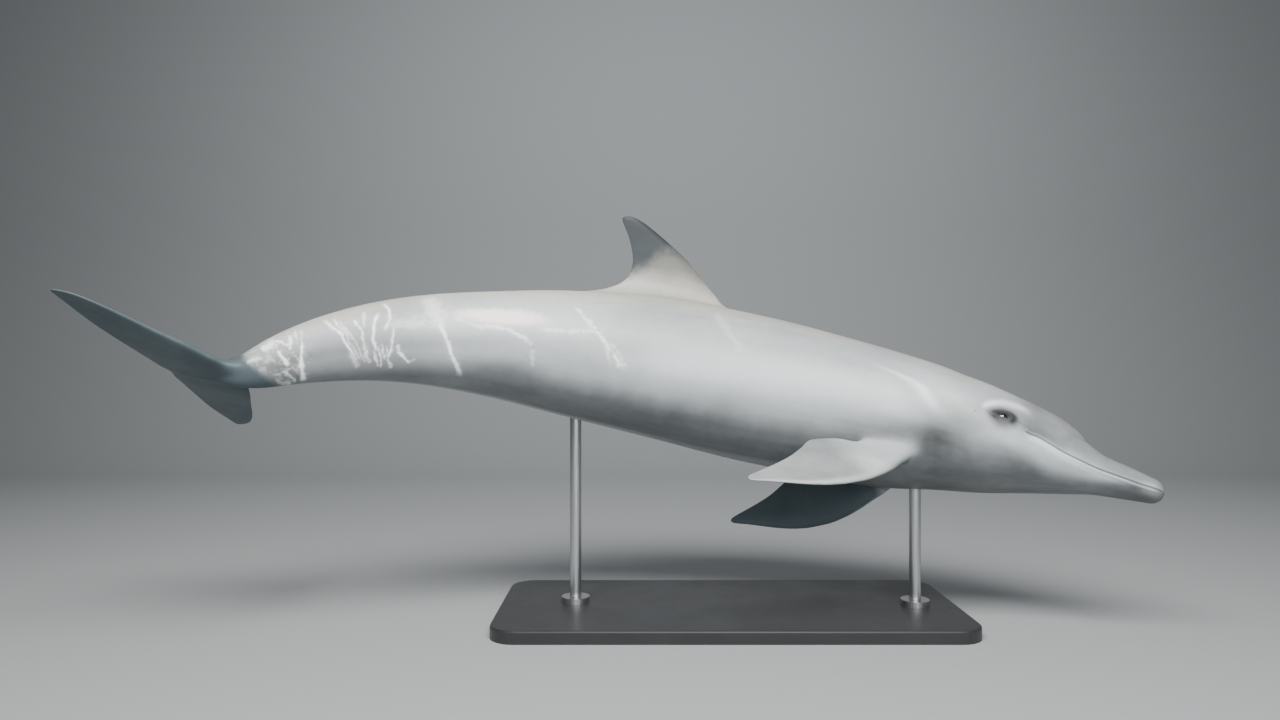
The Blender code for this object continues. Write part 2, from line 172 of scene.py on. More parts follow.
# Fullness of the section (2 is an ellipse) and level of the mouth line, each against s.
SECTION_POWER = ((0.0, 0.06, 0.12, 0.50, 0.75, 0.90), (2.4, 2.3, 2.1, 2.0, 1.9, 1.8))
MOUTH_LINE = (
    (0.0, 0.02, 0.045, 0.07, 0.09, 0.105, 0.118, 0.128),
    (-0.0030, -0.0036, -0.0030, -0.0026, -0.0016, 0.0010, 0.0029, 0.0021),
)
GAPE_S = 0.128
SNOUT_ROUND = 0.007
SNOUT_REACH = 0.003
EYE_S = 0.1525
EYE_UP = 0.0121
CREASE_S = 0.0640
EAR_S = 0.180
BLOWHOLE_S = 0.1520
NAPE_S = 0.196
SHOULDER = (0.262, 0.050, -0.050)
NAVEL_S = 0.455
SLITS = ((0.632, 0.640, 0.672, 0.682), (0.700, 0.705, 0.713, 0.718))
BARREL_END_S = 0.9885
SIDES = (("right", 1.0), ("left", -1.0))
TABLE_S = np.linspace(-0.004, 1.0, 1005)


def hill(x, width):
    """1 where x is 0, falling away on both sides."""
    return np.exp(-((np.asarray(x, float) / width) ** 2))


def eased(xs, ys, x):
    """Smooth curve through (xs, ys) that never overshoots them, read at x."""
    xs, ys, x = (np.asarray(v, float) for v in (xs, ys, x))
    step = np.diff(xs)
    slope = np.diff(ys) / step
    tangent = np.concatenate([slope[:1], np.zeros(len(xs) - 2), slope[-1:]])
    for i in range(1, len(xs) - 1):
        if slope[i - 1] * slope[i] > 0:
            a = 2 * step[i] + step[i - 1]
            b = step[i] + 2 * step[i - 1]
            tangent[i] = (a + b) / (a / slope[i - 1] + b / slope[i])
    x = np.clip(x, xs[0], xs[-1])
    k = np.clip(np.searchsorted(xs, x) - 1, 0, len(xs) - 2)
    t = (x - xs[k]) / step[k]
    start = (1 + 2 * t) * (1 - t) ** 2 * ys[k] + t * (1 - t) ** 2 * step[k] * tangent[k]
    end = t * t * (3 - 2 * t) * ys[k + 1] + t * t * (t - 1) * step[k] * tangent[k + 1]
    return start + end


def faired(values, head_width=0.0030, body_width=0.0110):
    """The values of a table over TABLE_S with their corners rounded off, less so on the head."""
    step = TABLE_S[1] - TABLE_S[0]
    rounded = []
    for width in (head_width, body_width):
        reach = int(4 * width / step)
        kernel = hill(np.arange(-reach, reach + 1) * step, width * math.sqrt(2))
        front = 2 * values[0] - values[reach:0:-1]
        rear = 2 * values[-1] - values[-2 : -reach - 2 : -1]
        longer = np.concatenate([front, values, rear])
        rounded.append(np.convolve(longer, kernel / kernel.sum(), "valid"))
    share = smooth(0.10, 0.20, TABLE_S)
    return rounded[0] * (1 - share) + rounded[1] * share


HIGH, LOW, WIDE = (faired(eased(BODY_LINES[:, 0], BODY_LINES[:, k], TABLE_S)) for k in (1, 2, 3))
POWER = faired(eased(*SECTION_POWER, TABLE_S), 0.02, 0.03)
MOUTH = faired(eased(*MOUTH_LINE, TABLE_S), 0.0022, 0.005)


def section(s):
    """Height, depth, half-width, outline power and mouth level at s."""
    return tuple(np.interp(s, TABLE_S, table) for table in (HIGH, LOW, WIDE, POWER, MOUTH))


def outline(s, angle):
    """Lateral and up of the body's outline at angle, 0 at the right side and a quarter turn on the back."""
    high, low, wide, power, mouth = section(s)
    c, n = np.cos(angle), np.sin(angle)
    lateral = wide * np.sign(c) * np.abs(c) ** (2 / power)
    up = np.where(n > 0, high, low) * np.sign(n) * np.abs(n) ** (2 / power)
    inward = np.clip((SNOUT_ROUND - s) / (SNOUT_ROUND + SNOUT_REACH), 0, 1)
    shrink = np.sqrt(1 - inward**2)
    return lateral * shrink, mouth * (1 - shrink) + up * shrink


def angle_at(s, level):
    """Angle on the right side where the outline stands at this height."""
    high, low, _, power, _ = section(s)
    share = np.abs(level) / np.where(level > 0, high, low)
    return np.sign(level) * np.arcsin(np.clip(share, 0, 0.999) ** (power / 2))


# Rings: their spacing in millimetres along the body, closest at the eye.
RING_S = (0.012, 0.045, 0.056, 0.075, 0.120, 0.139, 0.166, 0.178, 0.215, 0.280, 0.890, 0.930, 0.988)
RING_GAP = (1.6, 2.2, 1.7, 2.0, 1.7, 0.75, 0.75, 2.0, 4.5, 8.0, 8.0, 5.5, 5.5)
TIP_RINGS = 16
fine_s = np.linspace(SNOUT_ROUND, RING_S[-1], 4000)
passed = np.cumsum(np.gradient(fine_s) * BODY_LENGTH * 1000 / np.interp(fine_s, RING_S, RING_GAP))
ring_steps = np.linspace(passed[0], passed[-1], int(passed[-1]))[1:]
tip_s = SNOUT_ROUND - (SNOUT_ROUND + SNOUT_REACH) * np.cos(np.linspace(0.11, math.pi / 2, TIP_RINGS))
ring_s = np.concatenate([tip_s, np.interp(ring_steps, passed, fine_s)])

# Columns: the middle one follows the mouth line, then climbs to run through the eye, and
# the others crowd towards it there and towards the blowhole on top.
COLUMNS_BELOW = 36
COLUMNS_ABOVE = 39
TOP_COLUMN = COLUMNS_BELOW + COLUMNS_ABOVE
mouth_level = section(ring_s)[4]
climb = smooth(0.122, 0.1485, ring_s)
middle = angle_at(ring_s, mouth_level * (1 - climb) + EYE_UP * climb)
middle = middle * smooth(0.27, 0.175, ring_s)
crowd = np.interp(ring_s, (0.10, 0.140, 0.165, 0.20, 0.27), (3.0, 12.0, 12.0, 4.0, 0.0))
crowd_width = 0.014 / (section(ring_s)[2] * BODY_LENGTH)
crowd_width = crowd_width * np.interp(ring_s, (0.0, 0.10, 0.14), (0.8, 0.9, 1.0))
top_crowd = 5.0 * hill(ring_s - BLOWHOLE_S, 0.020)
t = np.linspace(0, 1, 500)
angle = np.empty((len(ring_s), TOP_COLUMN + 1))
for i in range(len(ring_s)):
    for count, end, columns in (
        (COLUMNS_BELOW, -math.pi / 2, slice(COLUMNS_BELOW, None, -1)),
        (COLUMNS_ABOVE, math.pi / 2, slice(COLUMNS_BELOW, None)),
    ):
        span = abs(end - middle[i])
        density = 1 + crowd[i] * hill(t * span, crowd_width[i])
        if end > 0:
            density += top_crowd[i] * hill((1 - t) * span, 0.25)
        share = np.cumsum(density) - density[0]
        stops = np.interp(np.linspace(0, share[-1], count + 1), share, t)
        angle[i, columns] = middle[i] + (end - middle[i]) * stops
angle = np.concatenate([angle, math.pi - angle[:, -2:0:-1]], 1)
column = np.arange(angle.shape[1])
mouth_side = np.sign(np.minimum(column, 2 * TOP_COLUMN - column) - COLUMNS_BELOW)[None, :]

ring = np.repeat(ring_s[:, None], angle.shape[1], 1)
lateral, up = outline(ring, angle)
high, low, wide, power, mouth = section(ring)
steep = np.where(up > 0, high, low)
rise = up / steep
out_lateral = np.sign(lateral) * np.abs(lateral) ** (power - 1) / wide**power
out_up = np.sign(up) * np.abs(up) ** (power - 1) / steep**power
out_size = np.hypot(out_lateral, out_up)
out_lateral, out_up = out_lateral / out_size, out_up / out_size

# Distances in metres that the pressed-in features are shaped by. off_middle is above the
# mouth line where it is positive, and below it where it is negative.
middle_lateral, middle_up = outline(ring_s, middle)
off_middle = np.hypot(np.abs(lateral) - middle_lateral[:, None], up - middle_up[:, None])
off_middle = mouth_side * off_middle * BODY_LENGTH
mouth_off = np.hypot(off_middle, np.maximum(ring - GAPE_S, 0) * BODY_LENGTH)
across = lateral * BODY_LENGTH
belly = (up < 0) * 1.0


def plateau(x, start, full, fading, end):
    """1 from full to fading, 0 before start and after end, eased between."""
    return smooth(start, full, x) * smooth(end, fading, x)


def aft_of(s):
    """Metres that each point lies behind s."""
    return (ring - s) * BODY_LENGTH


# How far the skin stands out or in, in metres: the mouth line with a roll along each lip,
# the fold at its corner, and the soft swells of the cheek and the jaw's hinge.
lips = smooth(0.006, -0.004, aft_of(GAPE_S)) * smooth(0.0, 0.012, ring + SNOUT_REACH)
press = -0.0024 * hill(mouth_off, 0.0016) * smooth(-0.004, 0.002, ring)
press += 0.0010 * hill(mouth_off - 0.0060, 0.0036) * lips
press += 0.0007 * hill(mouth_off - 0.0050, 0.0032) * lips * (mouth_side < 0)
gape_fold = np.hypot((ring - GAPE_S - 0.0014) * BODY_LENGTH, off_middle + 0.001)
press += -0.0012 * hill(gape_fold, 0.0042)
press += 0.0022 * hill(np.hypot(aft_of(0.141) / 1.6, off_middle + 0.020), 0.015)
press += 0.0016 * hill(np.hypot(aft_of(0.168) / 1.5, off_middle + 0.030), 0.022)

# Crease between beak and melon: sharp on top, fading as it runs back down each side.
share_out = np.clip(np.abs(lateral) / wide, 0, 1)
crease_off = (ring - CREASE_S - 0.026 * share_out**2.2) * BODY_LENGTH
crease_depth = (up > mouth) * (1 - 0.85 * smooth(0.55, 0.97, share_out)) * smooth(0.002, 0.020, off_middle)
press += -(0.0068 * hill(crease_off, 0.0150) + 0.0020 * hill(crease_off, 0.0055)) * crease_depth
press += 0.0012 * hill(crease_off - 0.020, 0.014) * crease_depth

# Pinhole ears, then the blowhole: a crescent slot with a raised rim, in a shallow dip.
ear_off = np.hypot(aft_of(EAR_S), off_middle + 0.010)
press += -0.0020 * hill(ear_off, 0.0022)
blow_off = aft_of(BLOWHOLE_S) + 17.0 * across**2
blow_end = smooth(0.020, 0.012, np.abs(across)) * (up > 0)
press += (-0.0045 * hill(blow_off, 0.0020) + 0.0014 * hill(np.abs(blow_off) - 0.0055, 0.0035)) * blow_end
press += -0.0012 * hill(np.hypot(aft_of(BLOWHOLE_S + 0.0015), across), 0.024) * (up > 0)

# Nape, the two slits of the belly, and the navel.
press += -0.0026 * hill(ring - NAPE_S, 0.016) * smooth(0.0, 0.05, up)
slit = sum(plateau(ring, *stops) for stops in SLITS)
press += -0.0020 * hill(across, 0.0024) * slit * belly
press += -0.0020 * hill(np.hypot(aft_of(NAVEL_S), across / 0.6), 0.0080) * belly

# The hollow between the muscles of the tail stock, and the swell that roots each flipper.
press += -0.0022 * hill(rise + 0.10, 0.22) * plateau(ring, 0.60, 0.72, 0.86, 0.93)
shoulder_s, shoulder_lateral, shoulder_up = SHOULDER
shoulder_off = np.hypot(np.abs(lateral) - shoulder_lateral, up - shoulder_up)
shoulder_off = np.hypot((ring - shoulder_s) / 1.4, shoulder_off) * BODY_LENGTH
press += 0.0040 * hill(shoulder_off, 0.045)

lateral = lateral + press * out_lateral / BODY_LENGTH
up = up + press * out_up / BODY_LENGTH
barrel_points = place(ring, lateral, up)

# Eyelids: an almond opening over each eyeball, with a rolled rim, a fold round it and
# a low swell that carries the whole. Lengths are in metres; lid_at is 1 at the opening.
EYE_RADIUS = 0.0150
LID_LONG = 0.0128
LID_TALL = 0.0064
LID_TURN = math.radians(5)
FAR_OFF = 9.0
eye_centres = {}
eye_at = np.full((*ring.shape, 3), 1.0)
lid_at = np.full(ring.shape, FAR_OFF)
eye_lateral, eye_up = outline(EYE_S, angle_at(EYE_S, EYE_UP))
for side, sign in SIDES:
    centre = np.mean(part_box(f"eye_{side}"), axis=0)
    spine, forward, right, over = axes_at(EYE_S)
    outward = unit(place(EYE_S, sign * eye_lateral, eye_up) - centre)
    fore = unit(forward - outward * np.dot(forward, outward))
    above = np.cross(outward, fore) * -sign
    above = above * np.sign(np.dot(above, over))
    eye_centres[side] = (centre, outward, fore, above)
    near = (np.sign(lateral) == sign) & (np.abs(ring - EYE_S) < 0.06)
    rel = barrel_points[near] - centre
    x, y, z = (rel @ v for v in (fore, above, outward))
    lid_x = x * math.cos(LID_TURN) + y * math.sin(LID_TURN)
    lid_y = y * math.cos(LID_TURN) - x * math.sin(LID_TURN)
    # The upper lid is the taller one, and both are taller in front.
    tall = LID_TALL * np.where(lid_y > 0, 1.08, 0.92) * (1 + 0.12 * lid_x / LID_LONG)
    lid = (np.abs(lid_x / LID_LONG) ** 1.8 + np.abs(lid_y / tall) ** 2.0) ** 0.55
    r = np.hypot(x, y)
    swell = z + 0.0024 * hill(r, 0.034) + 0.0010 * hill(lid - 1.5, 0.40) - 0.0008 * hill(lid - 2.45, 0.40)
    ball = np.sqrt(np.maximum(EYE_RADIUS**2 - r**2, 0))
    floor_z = np.maximum(ball - 0.0016, swell - 0.0034)
    rim_z = np.maximum(ball + 0.0009, swell + 0.0002)
    height = swell + (rim_z - swell) * smooth(1.9, 1.15, lid)
    height = height + (floor_z - height) * smooth(1.12, 0.98, lid)
    barrel_points[near] += (height - z)[:, None] * outward
    eye_at[near] = np.stack([x, y, z], -1)
    lid_at[near] = lid


def spot(x, y, half_long, half_tall):
    """1 in the middle of a soft oval, for places x and y in metres from it."""
    return hill(np.hypot(x / half_long, y / half_tall), 1.0)


# Tone of the skin, as a share darker or lighter than the plain grey. A point's rise is -1
# along the middle of the belly and 1 along the back. A row ends with the four values of s
# where its tone starts, is full, begins to fade and is gone.
# Tones above a level: strength, the rise where they start and where they are full.
BACK_TONES = (
    (-0.14, 0.45, 0.85, 0.10, 0.20, 0.45, 0.62),  # dark cape, from the head to the fin
    (0.18, -0.05, 0.35, 0.55, 0.68, 1.10, 1.20),  # upper half of the tail stock
    (-0.20, -1.20, -1.10, 0.74, 0.79, 1.10, 1.20),  # all of the tail's end
    (-0.07, 0.70, 1.00, 0.45, 0.60, 1.10, 1.20),  # ridge behind the fin, painted shade where the top catches less light
)
# Tones in a band: strength, the rise of its middle, its half-width.
FLANK_TONES = (
    (0.56, -0.04, 0.26, 0.20, 0.27, 0.48, 0.60),  # pale flank, partly a painted highlight along its lit middle
    (0.30, 0.40, 0.26, 0.54, 0.64, 0.72, 0.82),  # pale upper flank behind the fin, partly a painted highlight
    (-0.13, -0.10, 0.40, 0.79, 0.83, 1.10, 1.20),  # side of the tail's end
)
# Soft ovals behind the eye: strength, s, up, half-length, half-height, the last two in metres. The first,
# bright high on the neck, is a painted highlight.
HEAD_SPOTS = (
    (0.30, 0.236, 0.022, 0.085, 0.036),
    (-0.28, 0.187, -0.009, 0.040, 0.025),
    (0.34, 0.202, 0.015, 0.045, 0.022),
)
# Painted shade low on the flank, where the side turns away from the light: the rise of its upper edge, and
# its depth, against s.
SHADE_S = (0.00, 0.030, 0.055, 0.09, 0.13, 0.17, 0.21, 0.35, 0.60, 0.69, 0.79)
SHADE_RISE = (0.05, -0.18, -0.45, -0.58, -0.22, -0.24, -0.05, -0.36, -0.32, -0.15, -0.52)
SHADE_DEPTH = ((0.02, 0.06, 0.60, 0.70, 0.80), (0.74, 0.54, 0.54, 0.48, 0.27))
SHADE_FADE = 0.42
# The pale streak behind the eye, a painted highlight on the fold of the neck, runs forward and down: its s
# against its height.
STREAK = ((-0.020, 0.0041, 0.0191, 0.0300), (0.2040, 0.2262, 0.2420, 0.2850))
DARKEST = -0.92

tone = np.zeros(ring.shape)
for strength, start, full, *stops in BACK_TONES:
    tone += strength * smooth(start, full, rise) * plateau(ring, *stops)
for strength, level, half_width, *stops in FLANK_TONES:
    tone += strength * hill(rise - level, half_width) * plateau(ring, *stops)
# A dark bar low on the side, just before the flukes.
tone += -0.22 * hill(ring - 0.892, 0.014) * hill(rise + 0.35, 0.45)

# The band of painted shade, its upper edge rippled, with the middle of the belly left pale.
ripple = 0.026 * np.sin(61 * ring + 2 * rise) + 0.020 * np.sin(139 * ring + 4 * np.sin(23 * ring))
shade_start = eased(SHADE_S, SHADE_RISE, ring) + ripple * smooth(0.30, 0.40, ring)
belly_pale = smooth(0.28, 0.40, ring) * smooth(-0.965, -1.00, rise)
shade = smooth(shade_start, shade_start - SHADE_FADE, rise) * (1 - belly_pale)
tone += -np.interp(ring, *SHADE_DEPTH) * shade

# Dark forehead and upper jaw, the beak darkest, with a paler lip at the beak's root and a dark corner over
# the gape; then the pale lower jaw, a painted highlight along its lip, and a painted highlight on the snout.
above_mouth = off_middle > 0
forehead = smooth(0.160, 0.120, ring) * smooth(-0.002, 0.010, off_middle)
tone += -0.44 * forehead
tone += -0.06 * forehead * smooth(0.060, 0.050, ring)
tone += 0.30 * hill(off_middle - 0.006, 0.013) * plateau(ring, 0.040, 0.065, 0.082, 0.100) * above_mouth
tone += -0.20 * spot(aft_of(0.120), off_middle - 0.014, 0.040, 0.015) * above_mouth
tone += 0.12 * plateau(ring, 0.010, 0.080, 0.13, 0.20) * plateau(off_middle, -0.080, -0.040, -0.006, 0.000)
# Painted highlights: a bright line along the lower lip, and a bright spot on the snout.
lip = plateau(ring, 0.030, 0.095, GAPE_S - 0.006, GAPE_S + 0.002) * hill(off_middle + 0.0080, 0.0070)
tone += 0.62 * lip
tone += 0.52 * spot(aft_of(0.009), off_middle + 0.002, 0.022, 0.011)

# Round the eye: a pale arched brow, the dark patch, a stripe forward and a smudge behind.
eye_x, eye_y = eye_at[..., 0], eye_at[..., 1]
brow_line = 0.0425 - 7.0 * (eye_x - 0.022) ** 2
brow = hill(eye_y - brow_line, 0.0095) * plateau(eye_x, -0.056, -0.040, 0.030, 0.064)
tone += 0.95 * brow * (np.abs(eye_x) < 0.2)
tone += -0.82 * smooth(1.32, 0.50, np.hypot((eye_x + 0.001) / 0.0340, (eye_y + 0.005) / 0.0270))
stripe_drop = 0.022 * np.clip((eye_x - 0.015) / 0.050, 0, 1)
tone += -0.24 * hill(eye_y + 0.004 + stripe_drop, 0.012) * plateau(eye_x, 0.010, 0.022, 0.060, 0.085)
tone += -0.20 * spot(eye_x + 0.030, eye_y + 0.006, 0.022, 0.014)

# The fold of the neck in painted light: painted shade on its dark side, slanted, and a painted highlight in
# the pale streak, with a faint dark line behind it.
neck_x, neck_y = aft_of(0.2115), (up + 0.029) * BODY_LENGTH
tone += -0.20 * spot(neck_x - 0.25 * neck_y, neck_y, 0.042, 0.052)
on_flank = np.abs(rise) < 0.8
streak_s = np.interp(up, *STREAK)
tone += 0.78 * hill(aft_of(streak_s), 0.020) * plateau(up, -0.014, 0.010, 0.022, 0.034) * on_flank
tone += -0.08 * hill(streak_s + 0.020 - ring, 0.012) * plateau(up, -0.014, 0.004, 0.016, 0.030)
for strength, spot_s, spot_up, half_long, half_tall in HEAD_SPOTS:
    tone += strength * spot(aft_of(spot_s), (up - spot_up) * BODY_LENGTH, half_long, half_tall) * on_flank
tone = np.maximum(tone, DARKEST)

# How far each point lies in the painted shade of a groove: mouth line, blowhole, lids, ears and slits; round
# the lids it deepens the eye's own dark patch too.
crease_shade = 0.90 * hill(mouth_off, 0.0015) * smooth(-0.004, 0.0, ring)
for depth in (
    hill(blow_off, 0.0024) * blow_end,
    smooth(1.26, 1.04, lid_at),
    0.56 * smooth(2.75, 1.85, lid_at),
    0.8 * hill(ear_off, 0.0020),
    0.7 * hill(across, 0.0022) * slit * belly,
):
    crease_shade = np.maximum(crease_shade, depth)


def tube(rings, ends):
    """Vertices and faces of a closed tube through the rings, with a point at each end."""
    rows, columns = rings.shape[:2]
    index = np.arange(rows * columns).reshape(rows, columns)
    beside = np.roll(index, -1, axis=1)
    faces = np.stack([index[:-1], beside[:-1], beside[1:], index[1:]], -1).reshape(-1, 4)
    points = np.concatenate([rings.reshape(-1, 3), ends])
    first = [(rows * columns, b, a) for a, b in zip(index[0], beside[0])]
    last = [(rows * columns + 1, a, b) for a, b in zip(index[-1], beside[-1])]
    return points, [tuple(face) for face in faces] + first + last


def shown(name, data):
    """A new object in the scene for a mesh, a light or a camera."""
    obj = bpy.data.objects.new(name, data)
    bpy.context.scene.collection.objects.link(obj)
    return obj


def mesh_object(name, points, faces):
    """A closed mesh in the scene, its faces turned outwards."""
    mesh = bpy.data.meshes.new(name)
    mesh.from_pydata([tuple(p) for p in points], [], faces)
    bm = bmesh.new()
    bm.from_mesh(mesh)
    bmesh.ops.recalc_face_normals(bm, faces=bm.faces)
    bm.to_mesh(mesh)
    bm.free()
    return shown(name, mesh)


snout_tip = place(-SNOUT_REACH, 0.0, float(section(-SNOUT_REACH)[4]))
barrel_end = place(BARREL_END_S, 0.0, 0.0)
barrel = mesh_object("barrel", *tube(barrel_points, np.stack([snout_tip, barrel_end])))

# ---- Fins -------------------------------------------------------------------------
# Dorsal fin, flippers and flukes: stiff, boneless or thin-boned blades with a round
# front edge and a thin rear one, each grown out of the body with no join to see.

# Lines of each blade, in body lengths: distance out, front edge, rear edge, half-thickness.
# For the dorsal fin the distance is the height above the spine and the edges are at s. A
# flipper's distance is a share of its reach, and its edges lie to each side of its middle.
# A fluke's distance is from the midline, and its edges lie behind FLUKE_S.
FIN_LINES = np.array((
    (0.0580, 0.4075, 0.6500, 0.0130),
    (0.0620, 0.4120, 0.6400, 0.0125),
    (0.0700, 0.4240, 0.6120, 0.0115),
    (0.0775, 0.4345, 0.5880, 0.0104),
    (0.0820, 0.4405, 0.5755, 0.0096),
    (0.0890, 0.4505, 0.5640, 0.0085),
    (0.1000, 0.4660, 0.5560, 0.0070),
    (0.1150, 0.4815, 0.5540, 0.0055),
    (0.1320, 0.5010, 0.5580, 0.0042),
    (0.1470, 0.5235, 0.5645, 0.0030),
    (0.1580, 0.5422, 0.5705, 0.0020),
    (0.1610, 0.5480, 0.5714, 0.0016),
    (0.1628, 0.5525, 0.5705, 0.0012),
    (0.1642, 0.5568, 0.5680, 0.0008),
    (0.1650, 0.5602, 0.5645, 0.0005),
))
FLIPPER_LINES = np.array((
    (-0.15, 0.0120, 0.0120, 0.0080),
    (0.00, 0.0175, 0.0120, 0.0075),
    (0.10, 0.0232, 0.0150, 0.0070),
    (0.20, 0.0273, 0.0211, 0.0062),
    (0.33, 0.0301, 0.0300, 0.0052),
    (0.46, 0.0294, 0.0329, 0.0042),
    (0.57, 0.0264, 0.0240, 0.0034),
    (0.68, 0.0213, 0.0159, 0.0027),
    (0.80, 0.0142, 0.0101, 0.0020),
    (0.90, 0.0082, 0.0062, 0.0014),
    (0.96, 0.0050, 0.0038, 0.0010),
    (0.99, 0.0028, 0.0020, 0.0007),
    (1.00, 0.0010, 0.0004, 0.0005),
))
FLUKE_LINES = np.array((
    (0.0000, 0.0000, 0.0840, 0.0078),
    (0.0050, 0.0030, 0.0852, 0.0077),
    (0.0100, 0.0075, 0.0872, 0.0074),
    (0.0220, 0.0158, 0.0888, 0.0066),
    (0.0380, 0.0245, 0.0915, 0.0056),
    (0.0555, 0.0340, 0.0946, 0.0048),
    (0.0710, 0.0435, 0.0975, 0.0041),
    (0.0870, 0.0529, 0.1000, 0.0034),
    (0.1035, 0.0628, 0.1013, 0.0027),
    (0.1176, 0.0727, 0.1020, 0.0020),
    (0.1287, 0.0828, 0.1030, 0.0013),
    (0.1343, 0.0920, 0.1032, 0.0008),
    (0.1363, 0.0987, 0.1015, 0.0005),
))
FLUKE_CURL = 0.305
EDGE_HALF_THICK = 0.0005 / BODY_LENGTH
# Where each flipper is rooted, and, as shares of backward, outward and upward, how far it
# reaches and which way its chord leans.
SHOULDER_S = {"right": 0.250, "left": 0.263}
SHOULDER_OUT = 0.050
SHOULDER_DOWN = {"right": 0.050, "left": 0.058}
FLIPPER_REACH = {"right": (0.1212, 0.0683, -0.0872), "left": (0.1374, 0.0553, -0.0661)}
FLIPPER_LEAN = {"right": (0.41, -0.45, 0.79), "left": (0.13, -0.33, 0.93)}
FIN_SECTIONS = 56
FLIPPER_SECTIONS = 64
FLUKE_SECTIONS = 72


def edges_at(lines, out):
    """Front edge, rear edge and half-thickness of a blade at a distance out."""
    return (eased(lines[:, 0], lines[:, k], out) for k in (1, 2, 3))


def foil(front, rear, half_thick, points=24):
    """Outline of a fin section: place from front to rear edge, and offset, round in front, thin behind."""
    x = (1 - np.cos(np.linspace(0, math.pi, points))) / 2
    y = 2.969 * np.sqrt(x) - 1.26 * x - 3.516 * x**2 + 2.843 * x**3 - 1.036 * x**4
    y = np.maximum(y * half_thick, EDGE_HALF_THICK)
    y[0] = 0.0
    along = front + (rear - front) * x
    return np.append(along, along[:0:-1]), np.append(y, -y[:0:-1])


def stations(first, last, count):
    """Distances out, closer together near the tip."""
    t = np.linspace(0, 1, count)
    return first + (last - first) * (1 - (1 - t) ** 1.6)


def blade(rings):
    """Vertices and faces of a blade through the rings, closed at the middle of each end."""
    rings = np.array(rings)
    return tube(rings, rings[[0, -1]].mean(1))


rings = []
for height in stations(FIN_LINES[0, 0], FIN_LINES[-1, 0], FIN_SECTIONS):
    fin_along, fin_across = foil(*edges_at(FIN_LINES, height))
    rings.append(place(fin_along, fin_across, np.full(len(fin_along), height)))
blades = [blade(rings)]

flipper_frames = {}
for side, sign in SIDES:
    spine, forward, right, over = axes_at(SHOULDER_S[side])
    outward = sign * right
    root = spine + SHOULDER_OUT * outward - SHOULDER_DOWN[side] * over
    reach_out = sum(c * v for c, v in zip(FLIPPER_REACH[side], (-forward, outward, over)))
    lean = sum(c * v for c, v in zip(FLIPPER_LEAN[side], (-forward, outward, over)))
    span = unit(reach_out)
    lean = unit(lean - span * np.dot(lean, span))
    face = np.cross(span, lean) * -sign
    flipper_frames[side] = (root, reach_out, span, lean, face)
    rings = []
    for out in stations(*FLIPPER_LINES[[0, -1], 0], FLIPPER_SECTIONS):
        front, rear, half_thick = edges_at(FLIPPER_LINES, out)
        fin_along, fin_across = foil(-front, rear, half_thick)
        points = root + out * reach_out + fin_along[:, None] * lean + fin_across[:, None] * face
        rings.append(MID_PLACE + BODY_LENGTH * points)
    blades.append(blade(rings))

half_out = stations(0.0, FLUKE_LINES[-1, 0], FLUKE_SECTIONS)
rings = []
for out in np.concatenate([-half_out[:0:-1], half_out]):
    front, rear, half_thick = edges_at(FLUKE_LINES, abs(out))
    fin_along, fin_across = foil(FLUKE_S + front, FLUKE_S + rear, half_thick)
    rings.append(place(fin_along, np.full(len(fin_along), out), fin_across + FLUKE_CURL * out**2))
blades.append(blade(rings))

blade_points = np.concatenate([points for points, _ in blades])
starts = np.cumsum([0] + [len(points) for points, _ in blades])
blade_faces = []
for start, (_, faces) in zip(starts, blades):
    blade_faces += [tuple(int(v) + start for v in face) for face in faces]
fins = mesh_object("fins", blade_points, blade_faces)

# ---- One hide ---------------------------------------------------------------------
# A dolphin's skin is one piece from snout to flukes. Barrel and fins are joined into a
# single closed skin, and the corners where they meet are relaxed into soft hollows.
FILLET_REACH = 0.045
FILLET_PASSES = 40
FILLET_SOFTNESS = 0.85
SAME_POINT = 2e-6

join = barrel.modifiers.new("join", "BOOLEAN")
join.operation = "UNION"
join.solver = "EXACT"
join.object = fins
bpy.context.view_layer.update()
skin = bpy.data.meshes.new_from_object(barrel.evaluated_get(bpy.context.evaluated_depsgraph_get()))
barrel_count = len(barrel.data.vertices)
known = KDTree(barrel_count + len(fins.data.vertices))
for i, v in enumerate([*barrel.data.vertices, *fins.data.vertices]):
    known.insert(v.co, i)
known.balance()
bpy.data.objects.remove(barrel, do_unlink=True)
bpy.data.objects.remove(fins, do_unlink=True)


def read(things, name, count=1, kind=float):
    """One value, or a row of count values, from each of a mesh's points, edges, faces or corners."""
    values = np.empty(len(things) * count, kind)
    things.foreach_get(name, values)
    return values.reshape(-1, count) if count > 1 else values


# Each point's place in the barrel or the fins it came from, or -1 on the seam between them.
skin_points = read(skin.vertices, "co", 3)
found = [known.find(p) for p in skin_points]
source = np.array([index if gap < SAME_POINT else -1 for _, index, gap in found])
from_barrel = (source >= 0) & (source < barrel_count)
seam = np.flatnonzero(source < 0)
near_seam = KDTree(len(seam))
for i in seam:
    near_seam.insert(skin_points[i], int(i))
near_seam.balance()
seam_gap = np.array([near_seam.find(p)[2] for p in skin_points])

edges = read(skin.edges, "vertices", 2, np.int64)
softness = smooth(FILLET_REACH, 0.0, seam_gap) * FILLET_SOFTNESS
ends = edges[(softness[edges] > 0).any(1)]
pairs = np.concatenate([ends, ends[:, ::-1]])
degree = np.bincount(pairs[:, 0], minlength=len(skin_points))
moving = (softness > 0) & (degree > 0)


def neighbours_mean(values):
    """For each moving point, the mean of the values at the points it shares an edge with."""
    return np.bincount(pairs[:, 0], values[pairs[:, 1]], len(values)) / np.maximum(degree, 1)


for _ in range(FILLET_PASSES):
    mean = np.stack([neighbours_mean(skin_points[:, k]) for k in range(3)], 1)
    skin_points[moving] += softness[moving, None] * (mean[moving] - skin_points[moving])
skin.vertices.foreach_set("co", skin_points.ravel())
skin.update()


